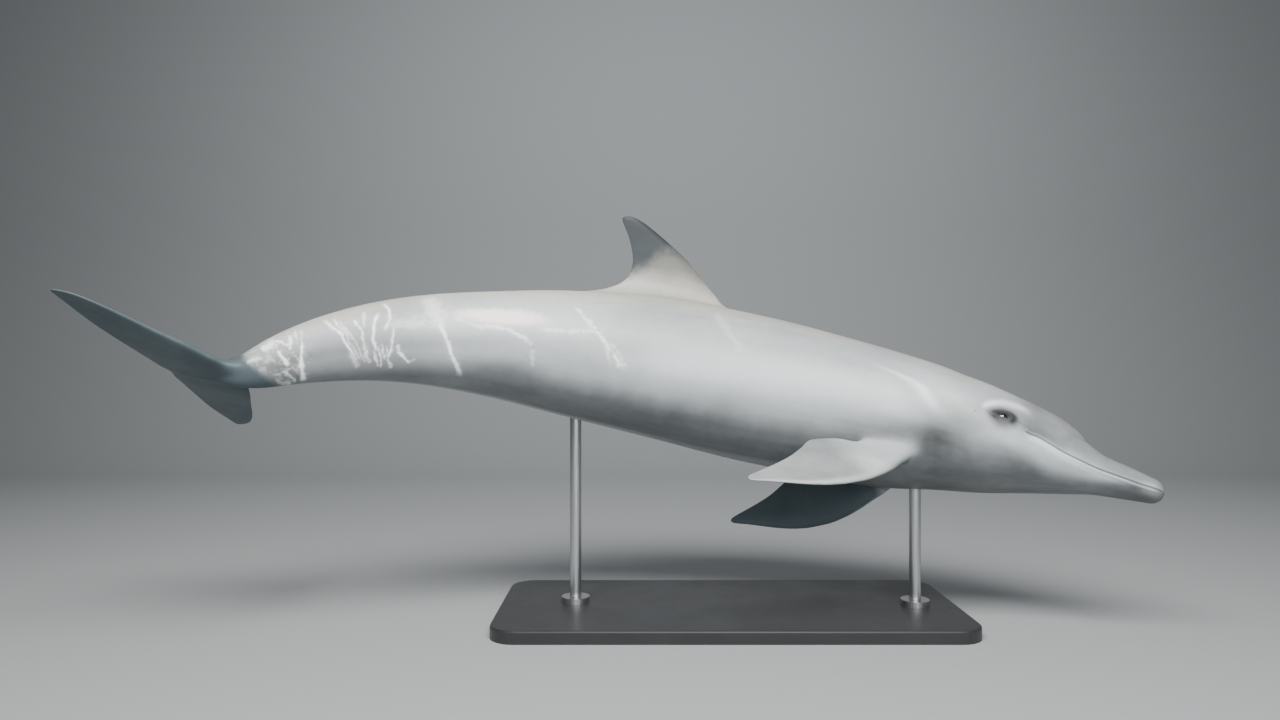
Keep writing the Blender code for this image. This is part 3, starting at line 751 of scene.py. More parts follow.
def body_places(points, batch=4000, rounds=4, share=0.9):
    """The (s, lateral, up) of world points: the nearest spine point, then settled in a few rounds."""
    points = (points - MID_PLACE) / BODY_LENGTH
    s = np.empty(len(points))
    for k in range(0, len(points), batch):
        gap = points[k : k + batch, None] - SPINE
        s[k : k + batch] = SPINE_S[(gap**2).sum(2).argmin(1)]
    for _ in range(rounds):
        spine, forward, right, over = axes_at(s)
        s = s - ((points - spine) * forward).sum(1) * share
    spine, forward, right, over = axes_at(s)
    return s, ((points - spine) * right).sum(1), ((points - spine) * over).sum(1)


# What the finish reads at each point. Lengths are in metres.
hide_s, hide_lateral, hide_up = body_places(skin_points)
hide_high, hide_low, hide_wide, _, _ = section(hide_s)
hide_level = hide_up / np.where(hide_up > 0, hide_high, hide_low)
hide_rise = np.clip(hide_level, -1.5, 1.5)


def carried(grid, rest):
    """Values of the barrel's grid, with its two end points, given to the joined skin's points."""
    values = np.append(grid.ravel(), [rest, rest])
    return np.where(from_barrel, values[np.clip(source, 0, barrel_count - 1)], rest)


# Dark zones, as metres inside their edges: the fin's upper rear; the flukes, partly their own slate and
# partly painted shade on their paler undersides; and, as painted shade, the faces of the flippers that lie
# towards the body.
FIN_DARK_S = (0.470, 0.500, 0.5116, 0.5272, 0.5365, 0.5479, 0.5560, 0.5800)
FIN_DARK_UP = (0.139, 0.1365, 0.1335, 0.1270, 0.1185, 0.1060, 0.0990, 0.0970)
# How sharp the fin's dark edge is, against s: softer in front.
FIN_DARK_EDGE = ((0.50, 0.545), (0.22, 0.48))
FIN_SPAN_S = (0.43, 0.62)
FIN_ROOT_UP = 0.080
FLUKE_DARK_S = 0.9150
FLUKE_DARK_SLANT = 0.70
NOT_DARK = -0.1
dark = (hide_up - np.interp(hide_s, FIN_DARK_S, FIN_DARK_UP)) * BODY_LENGTH
dark = dark * np.interp(hide_s, *FIN_DARK_EDGE)
on_dorsal = (hide_s > FIN_SPAN_S[0]) & (hide_s < FIN_SPAN_S[1]) & (hide_up > FIN_ROOT_UP)
dark = np.where(on_dorsal, dark, NOT_DARK)
dark = np.maximum(dark, (hide_s - FLUKE_DARK_S - FLUKE_DARK_SLANT * hide_up) * BODY_LENGTH)
normals = read(skin.vertices, "normal", 3)
on_flipper = np.zeros(len(skin_points))
flipper_fore = np.full(len(skin_points), -1.0)
for side, sign in SIDES:
    root, reach_out, span, lean, face = flipper_frames[side]
    rel = (skin_points - MID_PLACE) / BODY_LENGTH - root
    size = np.linalg.norm(reach_out)
    out = rel @ span / size
    chord = rel @ lean
    off = rel @ face
    front, rear, half = (np.interp(out, FLIPPER_LINES[:, 0], FLIPPER_LINES[:, k]) for k in (1, 2, 3))
    # A little more than the blade is taken, so that none of its skin is missed.
    here = (np.abs(off) < half + 0.006) & (chord > -front - 0.004) & (chord < rear + 0.004)
    here &= (hide_lateral * sign > 0) & (out > -0.12)
    on_flipper = np.where(here, smooth(0.22, 0.42, out), on_flipper)
    outer = normals @ face * np.sign(np.dot(face, sign * axes_at(SHOULDER_S[side])[2]))
    # The flipper's face towards the body is darkened as painted shade.
    inner_face_shade = np.minimum(-(outer + 0.15) * 0.020, (out + 0.06) * size * BODY_LENGTH)
    dark = np.where(here, np.maximum(dark, inner_face_shade), dark)
    share = (chord + front) / np.maximum(front + rear, 1e-4)
    flipper_fore = np.where(here & (outer > -0.3), share, flipper_fore)

# Tone all over: the barrel's own, then darker flippers with a painted highlight along the front rim and a
# darker fin tip, evened out where the blades meet the barrel.
FLIPPER_TONE = -0.46
FLIPPER_RIM_HIGHLIGHT = 0.42
FIN_TIP_TONE = -0.60
EVENING_PASSES = 12
hide_tone = np.where(from_barrel, carried(tone, 0.0), -0.05 * smooth(0.70, 1.00, hide_rise))
hide_tone += FLIPPER_TONE * on_flipper
hide_tone += FIN_TIP_TONE * smooth(0.088, 0.118, hide_up) * (hide_s > 0.42) * (hide_s < 0.60)
# A painted highlight along the front rim of each flipper's outer face.
hide_tone += FLIPPER_RIM_HIGHLIGHT * hill(flipper_fore - 0.03, 0.05) * on_flipper * (flipper_fore >= 0)
for _ in range(EVENING_PASSES):
    hide_tone = np.where(moving, (hide_tone + neighbours_mean(hide_tone)) / 2, hide_tone)


def keep(name, values):
    """Stores one number or one vector for each point of the skin."""
    values = np.asarray(values, float)
    kind = "FLOAT" if values.ndim == 1 else "FLOAT_VECTOR"
    attribute = skin.attributes.new(name, kind, "POINT")
    attribute.data.foreach_set("value" if values.ndim == 1 else "vector", values.ravel())


keep("body", np.stack([hide_s, hide_lateral, hide_up], 1) * BODY_LENGTH)
keep("rise", hide_rise)
keep("tone", hide_tone)
keep("dark", dark)
keep("crease_shade", carried(crease_shade, 0.0))
keep("flipper", on_flipper)
for polygon in skin.polygons:
    polygon.use_smooth = True

# Its own unwrap, in metres before packing. The barrel is eight sheets, cut along the back
# and the belly and across at three places; each blade is two, one for each face.
SHEET_CUTS = (0.215, 0.450, 0.700)
BARREL_SHEETS = 2 * (len(SHEET_CUTS) + 1)
SHEETS = BARREL_SHEETS + 2 * len(blades)
HEAD_SHEETS = (0, 1)
HEAD_SHEET_SCALE = 1.7
MIRRORED_SHEETS = (*range(BARREL_SHEETS), 9, 11, 12, 14)
SHEET_GAP = 0.012
ROW_SLACK = 1.06
girth = (hide_high + hide_low + 2 * hide_wide) / 4 * BODY_LENGTH
flat_maps = []
for sign in (1.0, -1.0):
    around = np.arctan2(hide_level, sign * hide_lateral / hide_wide)
    flat_maps.append((hide_s * BODY_LENGTH, around * girth * sign))
flat_maps.append((hide_s * BODY_LENGTH, hide_up * BODY_LENGTH))
for side, _ in SIDES:
    root, reach_out, span, lean, face = flipper_frames[side]
    rel = skin_points - MID_PLACE - root * BODY_LENGTH
    flat_maps.append((rel @ span, rel @ lean))
flat_maps.append((hide_s * BODY_LENGTH, hide_lateral * BODY_LENGTH))

face_sizes = read(skin.polygons, "loop_total", kind=np.int64)
face_starts = read(skin.polygons, "loop_start", kind=np.int64)
face_normals = read(skin.polygons, "normal", 3)
corners = read(skin.loops, "vertex_index", kind=np.int64)
blade_of = np.searchsorted(starts, np.maximum(source - barrel_count, 0), side="right")
face_blade = np.maximum.reduceat((blade_of * (source >= barrel_count))[corners], face_starts)
face_s, face_lateral = (np.add.reduceat(v[corners], face_starts) / face_sizes for v in (hide_s, hide_lateral))
_, _, face_right, face_over = axes_at(face_s)
sheet = np.searchsorted(SHEET_CUTS, face_s) * 2 + (face_lateral < 0)
outwards = (face_right, flipper_frames["right"][-1], flipper_frames["left"][-1], face_over)
for number, axis in enumerate(outwards):
    facing = (face_normals * axis).sum(1) > 0
    sheet = np.where(face_blade == number + 1, BARREL_SHEETS + 2 * number + facing, sheet)

corner_sheet = np.repeat(sheet, face_sizes)
flat = np.zeros((len(corners), 2))
pieces = []
for number in range(SHEETS):
    inside = corner_sheet == number
    on_barrel = number < BARREL_SHEETS
    flat_map = flat_maps[number % 2 if on_barrel else 2 + (number - BARREL_SHEETS) // 2]
    scale = HEAD_SHEET_SCALE if number in HEAD_SHEETS else 1.0
    mirror = -1 if number in MIRRORED_SHEETS else 1
    flat[inside] = np.stack(flat_map, 1)[corners[inside]] * (mirror * scale, scale)
    flat[inside] -= flat[inside].min(0)
    pieces.append((flat[inside].max(0) + SHEET_GAP, number))
row_width = math.sqrt(sum(size[0] * size[1] for size, _ in pieces)) * ROW_SLACK
x = y = row_height = 0.0
for size, number in sorted(pieces, key=lambda piece: (-piece[0][1], piece[1])):
    if x + size[0] > row_width:
        x, y, row_height = 0.0, y + row_height, 0.0
    flat[corner_sheet == number] += (x + SHEET_GAP / 2, y + SHEET_GAP / 2)
    x, row_height = x + size[0], max(row_height, size[1])
flat /= max(row_width, y + row_height)
skin.uv_layers.new(name="OFBake").data.foreach_set("uv", flat.ravel())
hide = shown("hide", skin)


# Its finish: pale grey, cloudy and satin, with painted light and shade in its tone, slate fins with painted
# shade on the flippers' inner faces, dark lines of painted shade in the creases, and old pale scars on the
# right side.
def node(tree, kind, inputs=(), **settings):
    """A new node. inputs maps a socket's name or number to another node's output or to a value."""
    made = tree.nodes.new(kind)
    for name, value in settings.items():
        setattr(made, name, value)
    for key, value in dict(inputs).items():
        if isinstance(value, bpy.types.NodeSocket):
            tree.links.new(value, made.inputs[key])
        else:
            made.inputs[key].default_value = value
    return made


def reckoned(tree, operation, *values):
    return node(tree, "ShaderNodeMath", enumerate(values), operation=operation).outputs[0]


def total(tree, first, second):
    return reckoned(tree, "ADD", first, second)


def product(tree, first, second):
    return reckoned(tree, "MULTIPLY", first, second)


def distance(tree, x, y):
    """Length of the line from 0 to (x, y)."""
    return reckoned(tree, "SQRT", total(tree, product(tree, x, x), product(tree, y, y)))


def swing(tree, texture, strength):
    """A texture's swing to each side of its middle, times strength."""
    return product(tree, reckoned(tree, "SUBTRACT", texture, 0.5), strength)


def eased_between(tree, value, low, high, to_low=0.0, to_high=1.0):
    inputs = {"Value": value, "From Min": low, "From Max": high, "To Min": to_low, "To Max": to_high}
    return node(tree, "ShaderNodeMapRange", inputs, interpolation_type="SMOOTHSTEP").outputs[0]


def blended(tree, share, first, second, blend="MIX"):
    inputs = {0: share, 6: first, 7: second}
    return node(tree, "ShaderNodeMix", inputs, data_type="RGBA", blend_type=blend).outputs[2]


def noise_of(tree, place_socket, scale, detail=3.0, roughness=0.5):
    inputs = {"Vector": place_socket, "Scale": scale, "Detail": detail, "Roughness": roughness}
    return node(tree, "ShaderNodeTexNoise", inputs).outputs["Fac"]


def stretched(tree, place_socket, *stretch):
    """Places drawn out along x, y and z, for a texture that runs one way."""
    return node(tree, "ShaderNodeVectorMath", {0: place_socket, 1: stretch}, operation="MULTIPLY").outputs[0]


def attribute(tree, name, output="Fac"):
    return node(tree, "ShaderNodeAttribute", attribute_name=name).outputs[output]


def bumped(tree, shader, height, strength, depth):
    """Lets a height, times depth in metres, catch the light."""
    inputs = {"Height": height, "Strength": strength, "Distance": depth}
    tree.links.new(node(tree, "ShaderNodeBump", inputs).outputs[0], shader.inputs["Normal"])


def new_finish(name, **constants):
    """A material, its node tree and its Principled shader, with the shader's plain values set."""
    material = bpy.data.materials.new(name)
    material.use_nodes = True
    shader = material.node_tree.nodes["Principled BSDF"]
    for key, value in constants.items():
        shader.inputs[key.replace("_", " ")].default_value = value
    return material, material.node_tree, shader


# A scar: a tapering line on the flank, bowed aside and broken where the skin has healed,
# fading into the skin beside it. Run and off are places along and across it, each a sum
# of shares of the place along the body and the height above the spine.
SCAR_INPUTS = (
    "Along", "Height", "Wear", "Unbroken", "Run Along", "Run Height", "Run Shift",
    "Off Along", "Off Height", "Off Shift", "Bow", "Half Width", "Ragged", "Strength",
)
scar = bpy.data.node_groups.new("scar_line", "ShaderNodeTree")
for name in SCAR_INPUTS:
    scar.interface.new_socket(name, in_out="INPUT", socket_type="NodeSocketFloat")
scar.interface.new_socket("Share", in_out="OUTPUT", socket_type="NodeSocketFloat")
given = scar.nodes.new("NodeGroupInput").outputs


def place_on_scar(way):
    """Where a point lies along the scar ("Run") or across it ("Off")."""
    shifted = reckoned(scar, "MULTIPLY_ADD", given["Height"], given[way + " Height"], given[way + " Shift"])
    return reckoned(scar, "MULTIPLY_ADD", given["Along"], given[way + " Along"], shifted)


run = place_on_scar("Run")
run = product(scar, run, run)
off = reckoned(scar, "MULTIPLY_ADD", run, given["Bow"], place_on_scar("Off"))
off = reckoned(scar, "DIVIDE", off, product(scar, given["Half Width"], given["Wear"]))
off = product(scar, off, off)
line = reckoned(scar, "DIVIDE", 1.0, reckoned(scar, "MULTIPLY_ADD", off, off, 1.0))
line = product(scar, line, eased_between(scar, run, 1.10, 0.45))
whole = reckoned(scar, "MAXIMUM", given["Unbroken"], reckoned(scar, "SUBTRACT", 1.0, given["Ragged"]))
line = product(scar, product(scar, line, whole), given["Strength"])
node(scar, "NodeGroupOutput", {"Share": line})

BELLY_WHITE = (0.416, 0.440, 0.448, 1)
FLANK_GREY = (0.324, 0.348, 0.360, 1)
BACK_WARM = (0.374, 0.371, 0.342, 1)
SCAR_WHITE = (0.95, 0.96, 0.95, 1)
RUBBED_PINK = (0.95, 0.83, 0.77, 1)
SCUFFED_PALE = (0.80, 0.78, 0.75, 1)
SPOT_DARK = (0.16, 0.17, 0.18, 1)
SLATE = ((0.060, 0.082, 0.092, 1), (0.088, 0.116, 0.128, 1))
FIN_BLACK = (0.006, 0.008, 0.010, 1)
CREASE_SHADE_BLACK = (0.035, 0.040, 0.044, 1)

hide_finish, tree, shader = new_finish("hide_grey", Coat_Weight=0.06, Coat_Roughness=0.22, IOR=1.36)
where = node(tree, "ShaderNodeTexCoord").outputs["Object"]
body = attribute(tree, "body", "Vector")
cloud = noise_of(tree, where, scale=5.0, detail=4.0, roughness=0.55)
mottle = noise_of(tree, where, scale=38.0, detail=4.0, roughness=0.6)
grain = noise_of(tree, where, scale=420.0, detail=2.0, roughness=0.6)
flow = noise_of(tree, stretched(tree, body, 2.2, 26.0, 26.0), scale=1.0, detail=4.0, roughness=0.6)
pale_level = total(tree, attribute(tree, "rise"), swing(tree, cloud, 0.6))
colour = blended(tree, eased_between(tree, pale_level, -1.08, -0.90), BELLY_WHITE, FLANK_GREY)
warmth = eased_between(tree, total(tree, pale_level, attribute(tree, "flipper")), 0.55, 1.0)
colour = blended(tree, warmth, colour, BACK_WARM)

light = total(tree, 1.0, attribute(tree, "tone"))
for texture, strength in ((cloud, 0.42), (mottle, 0.20), (flow, 0.36), (grain, 0.07)):
    light = total(tree, light, swing(tree, texture, strength))
light_colour = node(tree, "ShaderNodeCombineXYZ", {0: light, 1: light, 2: light}).outputs[0]
colour = blended(tree, 1.0, colour, light_colour, "MULTIPLY")

# Scars: start and end as (s, height above the spine) in body lengths, half-width and
# bow in millimetres, strength and raggedness.
SCARS = (
    # Rear half of the rake on the tail stock.
    ((0.850, 0.031), (0.829, -0.008), 3.6, -5.5, 1.00, 0.15),
    ((0.831, -0.001), (0.826, -0.019), 7.5, 1.5, 0.45, 0.30),
    ((0.842, 0.031), (0.831, 0.009), 3.4, 0.5, 0.65, 0.35),
    ((0.833, 0.012), (0.823, -0.014), 3.2, 0.5, 0.45, 0.50),
    ((0.838, 0.028), (0.825, 0.005), 3.0, 1.0, 0.55, 0.45),
    ((0.827, 0.007), (0.819, -0.016), 3.0, 0.0, 0.40, 0.60),
    ((0.825, 0.027), (0.819, 0.016), 3.8, 1.0, 0.75, 0.30),
    ((0.819, 0.019), (0.819, 0.002), 3.4, 1.0, 0.70, 0.35),
    ((0.819, 0.005), (0.815, -0.017), 4.6, 2.5, 0.70, 0.45),
    ((0.815, 0.034), (0.817, 0.018), 4.4, -1.0, 0.55, 0.50),
    # Its front half, crossed by one broad smear.
    ((0.802, 0.032), (0.807, -0.006), 4.0, 11.0, 1.00, 0.15),
    ((0.796, 0.041), (0.794, 0.022), 5.2, -3.5, 0.95, 0.20),
    ((0.793, 0.026), (0.801, 0.013), 4.0, -2.0, 0.80, 0.35),
    ((0.796, 0.019), (0.760, 0.020), 14.0, 0.5, 0.30, 0.20),
    ((0.791, 0.017), (0.795, -0.007), 3.6, -0.5, 0.85, 0.30),
    ((0.810, -0.003), (0.808, -0.021), 4.0, 2.5, 0.80, 0.40),
    ((0.806, 0.000), (0.806, -0.022), 3.6, -0.5, 0.80, 0.40),
    ((0.803, 0.002), (0.802, -0.015), 3.2, 0.0, 0.70, 0.45),
    ((0.799, 0.000), (0.800, -0.015), 3.0, -2.0, 0.60, 0.45),
    ((0.799, -0.013), (0.795, -0.023), 4.0, 2.0, 0.70, 0.40),
    ((0.793, -0.004), (0.798, -0.013), 3.4, 2.0, 0.70, 0.40),
    ((0.788, 0.000), (0.787, -0.011), 3.8, 0.0, 0.70, 0.40),
    ((0.789, -0.006), (0.778, -0.020), 4.4, 1.0, 1.00, 0.20),
    ((0.782, -0.018), (0.772, -0.015), 3.4, 1.0, 0.60, 0.50),
    # Cuts and a smear just before the flukes.
    ((0.872, 0.014), (0.877, -0.009), 4.0, 0.0, 1.00, 0.10),
    ((0.876, -0.004), (0.878, -0.022), 6.0, 0.5, 1.00, 0.10),
    ((0.869, 0.027), (0.873, 0.011), 3.0, 0.0, 0.50, 0.50),
    ((0.894, 0.012), (0.888, -0.005), 4.4, 0.0, 1.00, 0.10),
    ((0.907, 0.015), (0.894, 0.021), 9.0, 0.5, 0.80, 0.30),
    ((0.897, 0.021), (0.882, 0.012), 3.8, -4.5, 0.70, 0.35),
    ((0.880, 0.023), (0.883, 0.009), 4.0, -1.0, 0.80, 0.30),
    ((0.876, 0.028), (0.877, 0.011), 3.4, -2.5, 0.40, 0.50),
    ((0.894, -0.008), (0.885, -0.021), 4.4, -0.5, 0.60, 0.35),
    ((0.902, -0.015), (0.890, -0.022), 5.0, 2.5, 0.45, 0.45),
    ((0.921, 0.004), (0.907, 0.006), 5.0, -3.0, 0.60, 0.40),
    # A broad soft slash and a crisp one in front of the rake.
    ((0.756, 0.047), (0.747, 0.012), 23.0, 1.0, 0.45, 0.30),
    ((0.750, 0.023), (0.726, -0.033), 5.6, 5.0, 0.95, 0.15),
    # Thin lines at the lower edge of the rubbed patch and ahead of it.
    ((0.735, 0.025), (0.705, 0.015), 5.5, 2.5, 0.55, 0.85),
    ((0.711, 0.017), (0.661, 0.003), 6.2, -11.5, 0.70, 0.85),
    ((0.663, 0.008), (0.656, -0.021), 5.5, -3.5, 0.32, 0.95),
    ((0.654, 0.018), (0.591, 0.023), 5.6, 3.5, 0.50, 0.60),
    # Slashes below the rear of the dorsal fin.
    ((0.618, 0.046), (0.586, 0.016), 7.2, -1.5, 0.55, 0.75),
    ((0.593, 0.022), (0.557, -0.015), 6.4, 0.5, 0.60, 0.60),
    ((0.578, 0.013), (0.554, -0.013), 4.2, -0.5, 0.36, 0.80),
    ((0.588, 0.016), (0.571, -0.011), 5.0, 0.0, 0.30, 0.90),
    # A broad line over the rubbed patch, and a faint one below the front of the fin.
    ((0.737, 0.029), (0.647, 0.032), 12.0, -5.0, 0.45, 0.35),
    ((0.465, 0.064), (0.427, 0.018), 12.0, 2.0, 0.14, 0.00),
)
body_parts = node(tree, "ShaderNodeSeparateXYZ", {0: body}).outputs
wander = reckoned(tree, "SUBTRACT", noise_of(tree, body, scale=38.0, detail=3.0, roughness=0.6), 0.5)
along = reckoned(tree, "MULTIPLY_ADD", wander, 0.014, body_parts[0])
height = reckoned(tree, "MULTIPLY_ADD", wander, -0.010, body_parts[2])
wear = noise_of(tree, body, scale=70.0, detail=5.0, roughness=0.7)
wear_width = reckoned(tree, "MULTIPLY_ADD", wear, 1.9, -0.26)
unbroken = eased_between(tree, wear, 0.36, 0.52)


def on_right(marks):
    """The marks on the right side of the body, and none on the left."""
    return product(tree, marks, reckoned(tree, "GREATER_THAN", body_parts[1], 0.0))


scarred = 0.0
for (start_s, start_up), (end_s, end_up), half_width, bow, strength, ragged in SCARS:
    half_width, bow = half_width / 1000, bow / 1000
    run_s, run_up = (end_s - start_s) * BODY_LENGTH / 2, (end_up - start_up) * BODY_LENGTH / 2
    mid_s, mid_up = (start_s + end_s) * BODY_LENGTH / 2, (start_up + end_up) * BODY_LENGTH / 2
    half_length = math.hypot(run_s, run_up)
    cosine, sine = run_s / half_length, run_up / half_length
    values = (
        along, height, wear_width, unbroken,
        cosine / half_length, sine / half_length, -(mid_s * cosine + mid_up * sine) / half_length,
        -sine, cosine, mid_s * sine - mid_up * cosine - bow,
        bow, half_width, ragged, strength,
    )
    mark = node(tree, "ShaderNodeGroup", zip(SCAR_INPUTS, values), node_tree=scar)
    scarred = reckoned(tree, "MAXIMUM", scarred, mark.outputs["Share"])
scarred = on_right(scarred)


def oval(centre_s, centre_up, half_long, half_tall):
    """1 at the middle of an oval on the right flank, 0 outside it; its halves are in metres."""
    x = reckoned(tree, "SUBTRACT", body_parts[0], centre_s * BODY_LENGTH)
    x = reckoned(tree, "DIVIDE", x, half_long)
    z = reckoned(tree, "SUBTRACT", body_parts[2], centre_up * BODY_LENGTH)
    z = reckoned(tree, "DIVIDE", z, half_tall)
    return on_right(eased_between(tree, distance(tree, x, z), 1.0, 0.35))


# A broad rubbed patch below the back, warm in the middle, a scuffed tail stock, the scars
# and one dark spot.
rub = product(tree, oval(0.690, 0.0275, 0.135, 0.024), eased_between(tree, flow, 0.30, 0.52))
scuff = product(tree, oval(0.893, 0.004, 0.085, 0.080), eased_between(tree, wear, 0.46, 0.66))
colour = blended(tree, product(tree, rub, 0.90), colour, RUBBED_PINK)
colour = blended(tree, product(tree, scuff, 0.42), colour, SCUFFED_PALE)
colour = blended(tree, scarred, colour, SCAR_WHITE)
colour = blended(tree, product(tree, oval(0.6582, -0.0013, 0.008, 0.0065), 0.5), colour, SPOT_DARK)

# Slate fin tip, flukes partly slate and partly painted shade, painted shade on the flippers' inner faces, the
# fin's the darkest, and painted shade near black in the grooves.
edge = total(tree, attribute(tree, "dark"), swing(tree, mottle, 0.022))
slate_and_shade = eased_between(tree, edge, -0.014, 0.014)
slate_colour = blended(tree, eased_between(tree, cloud, 0.35, 0.65), *SLATE)
on_fin = eased_between(tree, attribute(tree, "rise"), 1.05, 1.25)
on_fin = product(tree, on_fin, eased_between(tree, body_parts[0], 1.7, 1.4))
slate_colour = blended(tree, product(tree, on_fin, 0.80), slate_colour, FIN_BLACK)
colour = blended(tree, slate_and_shade, colour, slate_colour)
# Painted shade in the grooves, near black.
crease_shaded = attribute(tree, "crease_shade")
colour = blended(tree, product(tree, crease_shaded, 0.85), colour, CREASE_SHADE_BLACK)
tree.links.new(colour, shader.inputs["Base Color"])

rough = total(tree, 0.47, swing(tree, mottle, 0.20))
for marks, share in ((scarred, 0.12), (slate_and_shade, 0.10), (crease_shaded, 0.35)):
    rough = total(tree, rough, product(tree, marks, share))
tree.links.new(rough, shader.inputs["Roughness"])
relief = total(tree, product(tree, grain, 0.10), product(tree, mottle, 0.35))
relief = total(tree, relief, product(tree, scarred, 0.8))
bumped(tree, shader, relief, strength=0.35, depth=0.0012)
skin.materials.clear()
skin.materials.append(hide_finish)
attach(hide, "root")
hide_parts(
    "head", "upper_jaw", "lower_jaw", "trunk", "tail_stock", "dorsal_fin",
    "flipper_right", "flipper_left", "fluke_right", "fluke_left",
)

# ---- Eyes -------------------------------------------------------------------------
# Small wet balls, almost black, each set in its lids: a dark brown iris round a wide
# pupil shaped like a slot that sags in the middle.
IRIS_BROWN = ((0.014, 0.012, 0.011, 1), (0.034, 0.028, 0.025, 1))
BALL_DARK = (0.030, 0.028, 0.028, 1)
PUPIL_BLACK = (0.002, 0.002, 0.003, 1)
# Half-width, half-height and sag of the pupil, as shares of the ball's radius.
PUPIL = (0.30, 0.17, 0.07)

wet = {"Roughness": 0.10, "Coat_Weight": 1.0, "Coat_Roughness": 0.07}
eye_finish, eye_tree, eye_shader = new_finish("eye_dark", **wet)
gaze = node(eye_tree, "ShaderNodeSeparateXYZ", {0: attribute(eye_tree, "gaze", "Vector")}).outputs
gaze_r = distance(eye_tree, gaze[0], gaze[1])
pupil_x = reckoned(eye_tree, "DIVIDE", gaze[0], PUPIL[0])
sag = product(eye_tree, product(eye_tree, pupil_x, pupil_x), PUPIL[2])
pupil_y = reckoned(eye_tree, "DIVIDE", reckoned(eye_tree, "SUBTRACT", gaze[1], sag), PUPIL[1])
pupil_r = distance(eye_tree, pupil_x, pupil_y)
threads = noise_of(eye_tree, attribute(eye_tree, "gaze", "Vector"), scale=14.0, detail=5.0, roughness=0.7)
eye_colour = blended(eye_tree, threads, *IRIS_BROWN)
eye_colour = blended(eye_tree, eased_between(eye_tree, gaze_r, 0.50, 0.60), eye_colour, BALL_DARK)
eye_colour = blended(eye_tree, eased_between(eye_tree, pupil_r, 1.08, 0.94), eye_colour, PUPIL_BLACK)
eye_tree.links.new(eye_colour, eye_shader.inputs["Base Color"])

for side, (centre, outward, fore, above) in eye_centres.items():
    bm = bmesh.new()
    bmesh.ops.create_uvsphere(bm, u_segments=48, v_segments=32, radius=1.0)
    mesh = bpy.data.meshes.new(f"eyeball_{side}")
    bm.to_mesh(mesh)
    bm.free()
    local = read(mesh.vertices, "co", 3)
    eye_axes = np.stack([fore, above, outward])
    mesh.vertices.foreach_set("co", (centre + EYE_RADIUS * local @ eye_axes).ravel())
    if np.linalg.det(eye_axes) < 0:
        mesh.flip_normals()
    mesh.attributes.new("gaze", "FLOAT_VECTOR", "POINT").data.foreach_set("vector", local.ravel())
    mesh.materials.append(eye_finish)
    for polygon in mesh.polygons:
        polygon.use_smooth = True
    eyeball = shown(f"eyeball_{side}", mesh)
    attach(eyeball, "root")
    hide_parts(f"eye_{side}")

# ---- Display stand ----------------------------------------------------------------
# A flat base of black-lacquered board with two brushed steel rods, each held by a
# collar and let into the belly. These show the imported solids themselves.
LACQUER_BLACK = ((0.016, 0.017, 0.019, 1), (0.026, 0.027, 0.029, 1))
STEEL_GREY = ((0.50, 0.51, 0.52, 1), (0.64, 0.65, 0.66, 1))

base_finish, base_tree, base_shader = new_finish("stand_black")
base_where = node(base_tree, "ShaderNodeTexCoord").outputs["Object"]
orange_peel = noise_of(base_tree, base_where, scale=260.0, detail=2.0)
dust = noise_of(base_tree, base_where, scale=7.0, detail=5.0, roughness=0.6)
base_colour = blended(base_tree, dust, *LACQUER_BLACK)
base_tree.links.new(base_colour, base_shader.inputs["Base Color"])
base_tree.links.new(eased_between(base_tree, dust, 0.3, 0.7, 0.34, 0.44), base_shader.inputs["Roughness"])
bumped(base_tree, base_shader, orange_peel, strength=0.06, depth=0.0005)

steel_finish, steel_tree, steel_shader = new_finish("stand_steel", Metallic=1.0)
steel_where = node(steel_tree, "ShaderNodeTexCoord").outputs["Object"]
along_rods = stretched(steel_tree, steel_where, 900.0, 900.0, 9.0)
brushing = noise_of(steel_tree, along_rods, scale=1.0, roughness=0.6)
steel_colour = blended(steel_tree, brushing, *STEEL_GREY)
steel_tree.links.new(steel_colour, steel_shader.inputs["Base Color"])
steel_rough = eased_between(steel_tree, brushing, 0.2, 0.8, 0.24, 0.40)
steel_tree.links.new(steel_rough, steel_shader.inputs["Roughness"])
for name, finish in (
    ("stand_base", base_finish),
    ("stand_rod_front", steel_finish),
    ("stand_rod_rear", steel_finish),
    ("stand_collar_front", steel_finish),
    ("stand_collar_rear", steel_finish),
):
    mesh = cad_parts[name].data
    if mesh.materials:
        mesh.materials[0] = finish
    else:
        mesh.materials.append(finish)

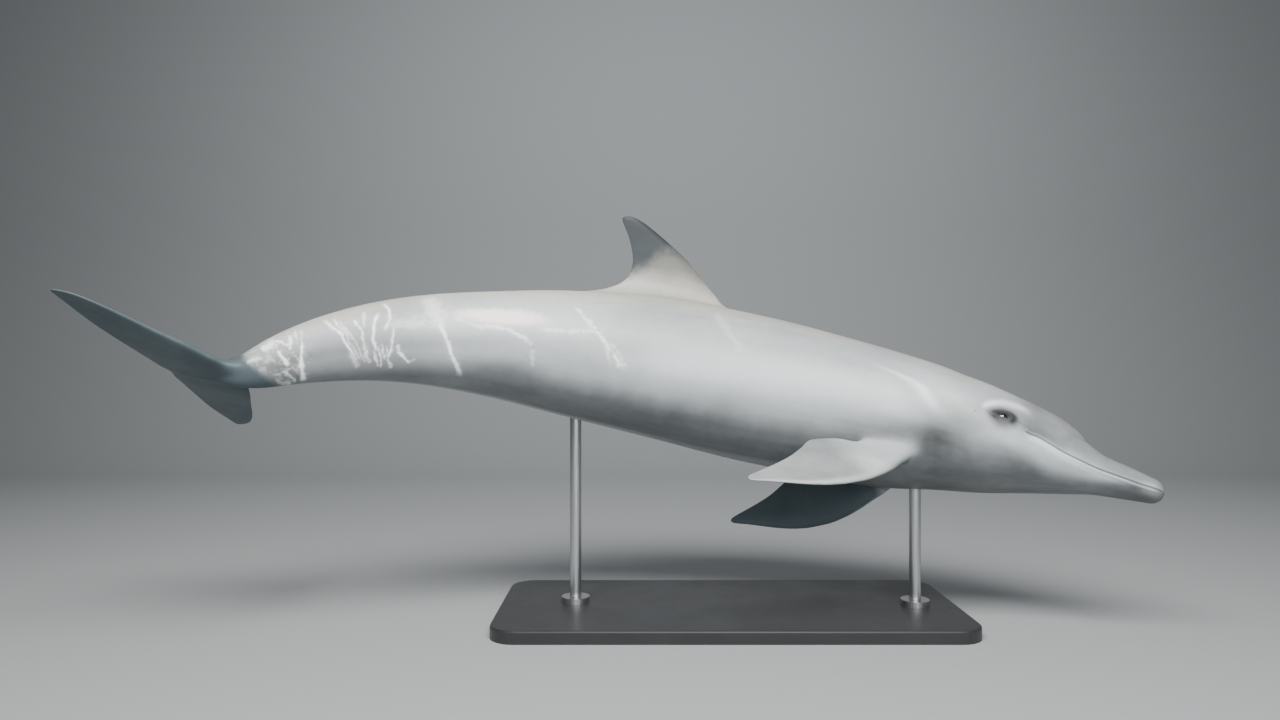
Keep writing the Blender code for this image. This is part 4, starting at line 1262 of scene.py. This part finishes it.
# ---- Floor, light and camera ------------------------------------------------------
# The studio: a roll of pale paper that curves up into a wall well behind the stand, two
# soft boxes over and in front of the animal and one on the wall, and the camera.
PAPER_SIDES = (-9.0, 9.0)
PAPER_FRONT = -6.0
CURVE_START = 2.6
CURVE_RADIUS = 1.6
PAPER_TOP = 7.0
PAPER_GREY = (0.275, 0.287, 0.295, 1)
SKY_TINT = (0.90, 0.95, 1.0, 1)
SKY_STRENGTH = 0.088
CAMERA_PLACE = (-0.2134, -2.1882, 0.6202)
LENS_MM = 25.3125

profile = [(PAPER_FRONT, 0.0), (CURVE_START, 0.0)]
for a in np.linspace(0.1, math.pi / 2, 14):
    profile.append((CURVE_START + CURVE_RADIUS * math.sin(a), CURVE_RADIUS - CURVE_RADIUS * math.cos(a)))
profile.append((CURVE_START + CURVE_RADIUS, PAPER_TOP))
paper = bpy.data.meshes.new("floor")
count = len(profile)
quads = [(i, i + 1, count + i + 1, count + i) for i in range(count - 1)]
paper.from_pydata([(x, y, z) for x in PAPER_SIDES for y, z in profile], [], quads)
for polygon in paper.polygons:
    polygon.use_smooth = True
floor_finish, _, floor_shader = new_finish("floor_paper", Roughness=0.9)
floor_shader.inputs["Base Color"].default_value = PAPER_GREY
paper.materials.append(floor_finish)
floor = shown("floor", paper)

world = bpy.data.worlds.new("studio")
world.use_nodes = True
sky = world.node_tree.nodes["Background"].inputs
sky["Color"].default_value = SKY_TINT
sky["Strength"].default_value = SKY_STRENGTH
bpy.context.scene.world = world

for name, spot_place, aim, size, watts, tint in (
    ("key_overhead", (-0.2, -1.9, 2.9), (0.0, 0.0, 0.45), (3.0, 1.2), 268, (1.0, 0.985, 0.96)),
    ("front_fill", (0.6, -4.2, 1.6), (0.0, 0.0, 0.5), (3.0, 2.0), 94, (0.93, 0.97, 1.0)),
    ("wall_wash", (0.0, 1.5, 3.2), (0.0, 4.2, 1.4), (4.0, 0.8), 62, (0.95, 0.98, 1.0)),
):
    softbox = bpy.data.lights.new(name, "AREA")
    softbox.shape = "RECTANGLE"
    softbox.size, softbox.size_y = size
    softbox.energy = watts
    softbox.color = tint
    hung = shown(name, softbox)
    hung.location = spot_place
    hung.rotation_euler = (Vector(aim) - Vector(spot_place)).to_track_quat("-Z", "Y").to_euler()

camera_data = bpy.data.cameras.new("camera")
camera_data.lens = LENS_MM
camera_data.sensor_width = 36.0
camera = shown("camera", camera_data)
camera.location = CAMERA_PLACE
camera.rotation_euler = (math.pi / 2, 0, 0)
bpy.context.scene.camera = camera
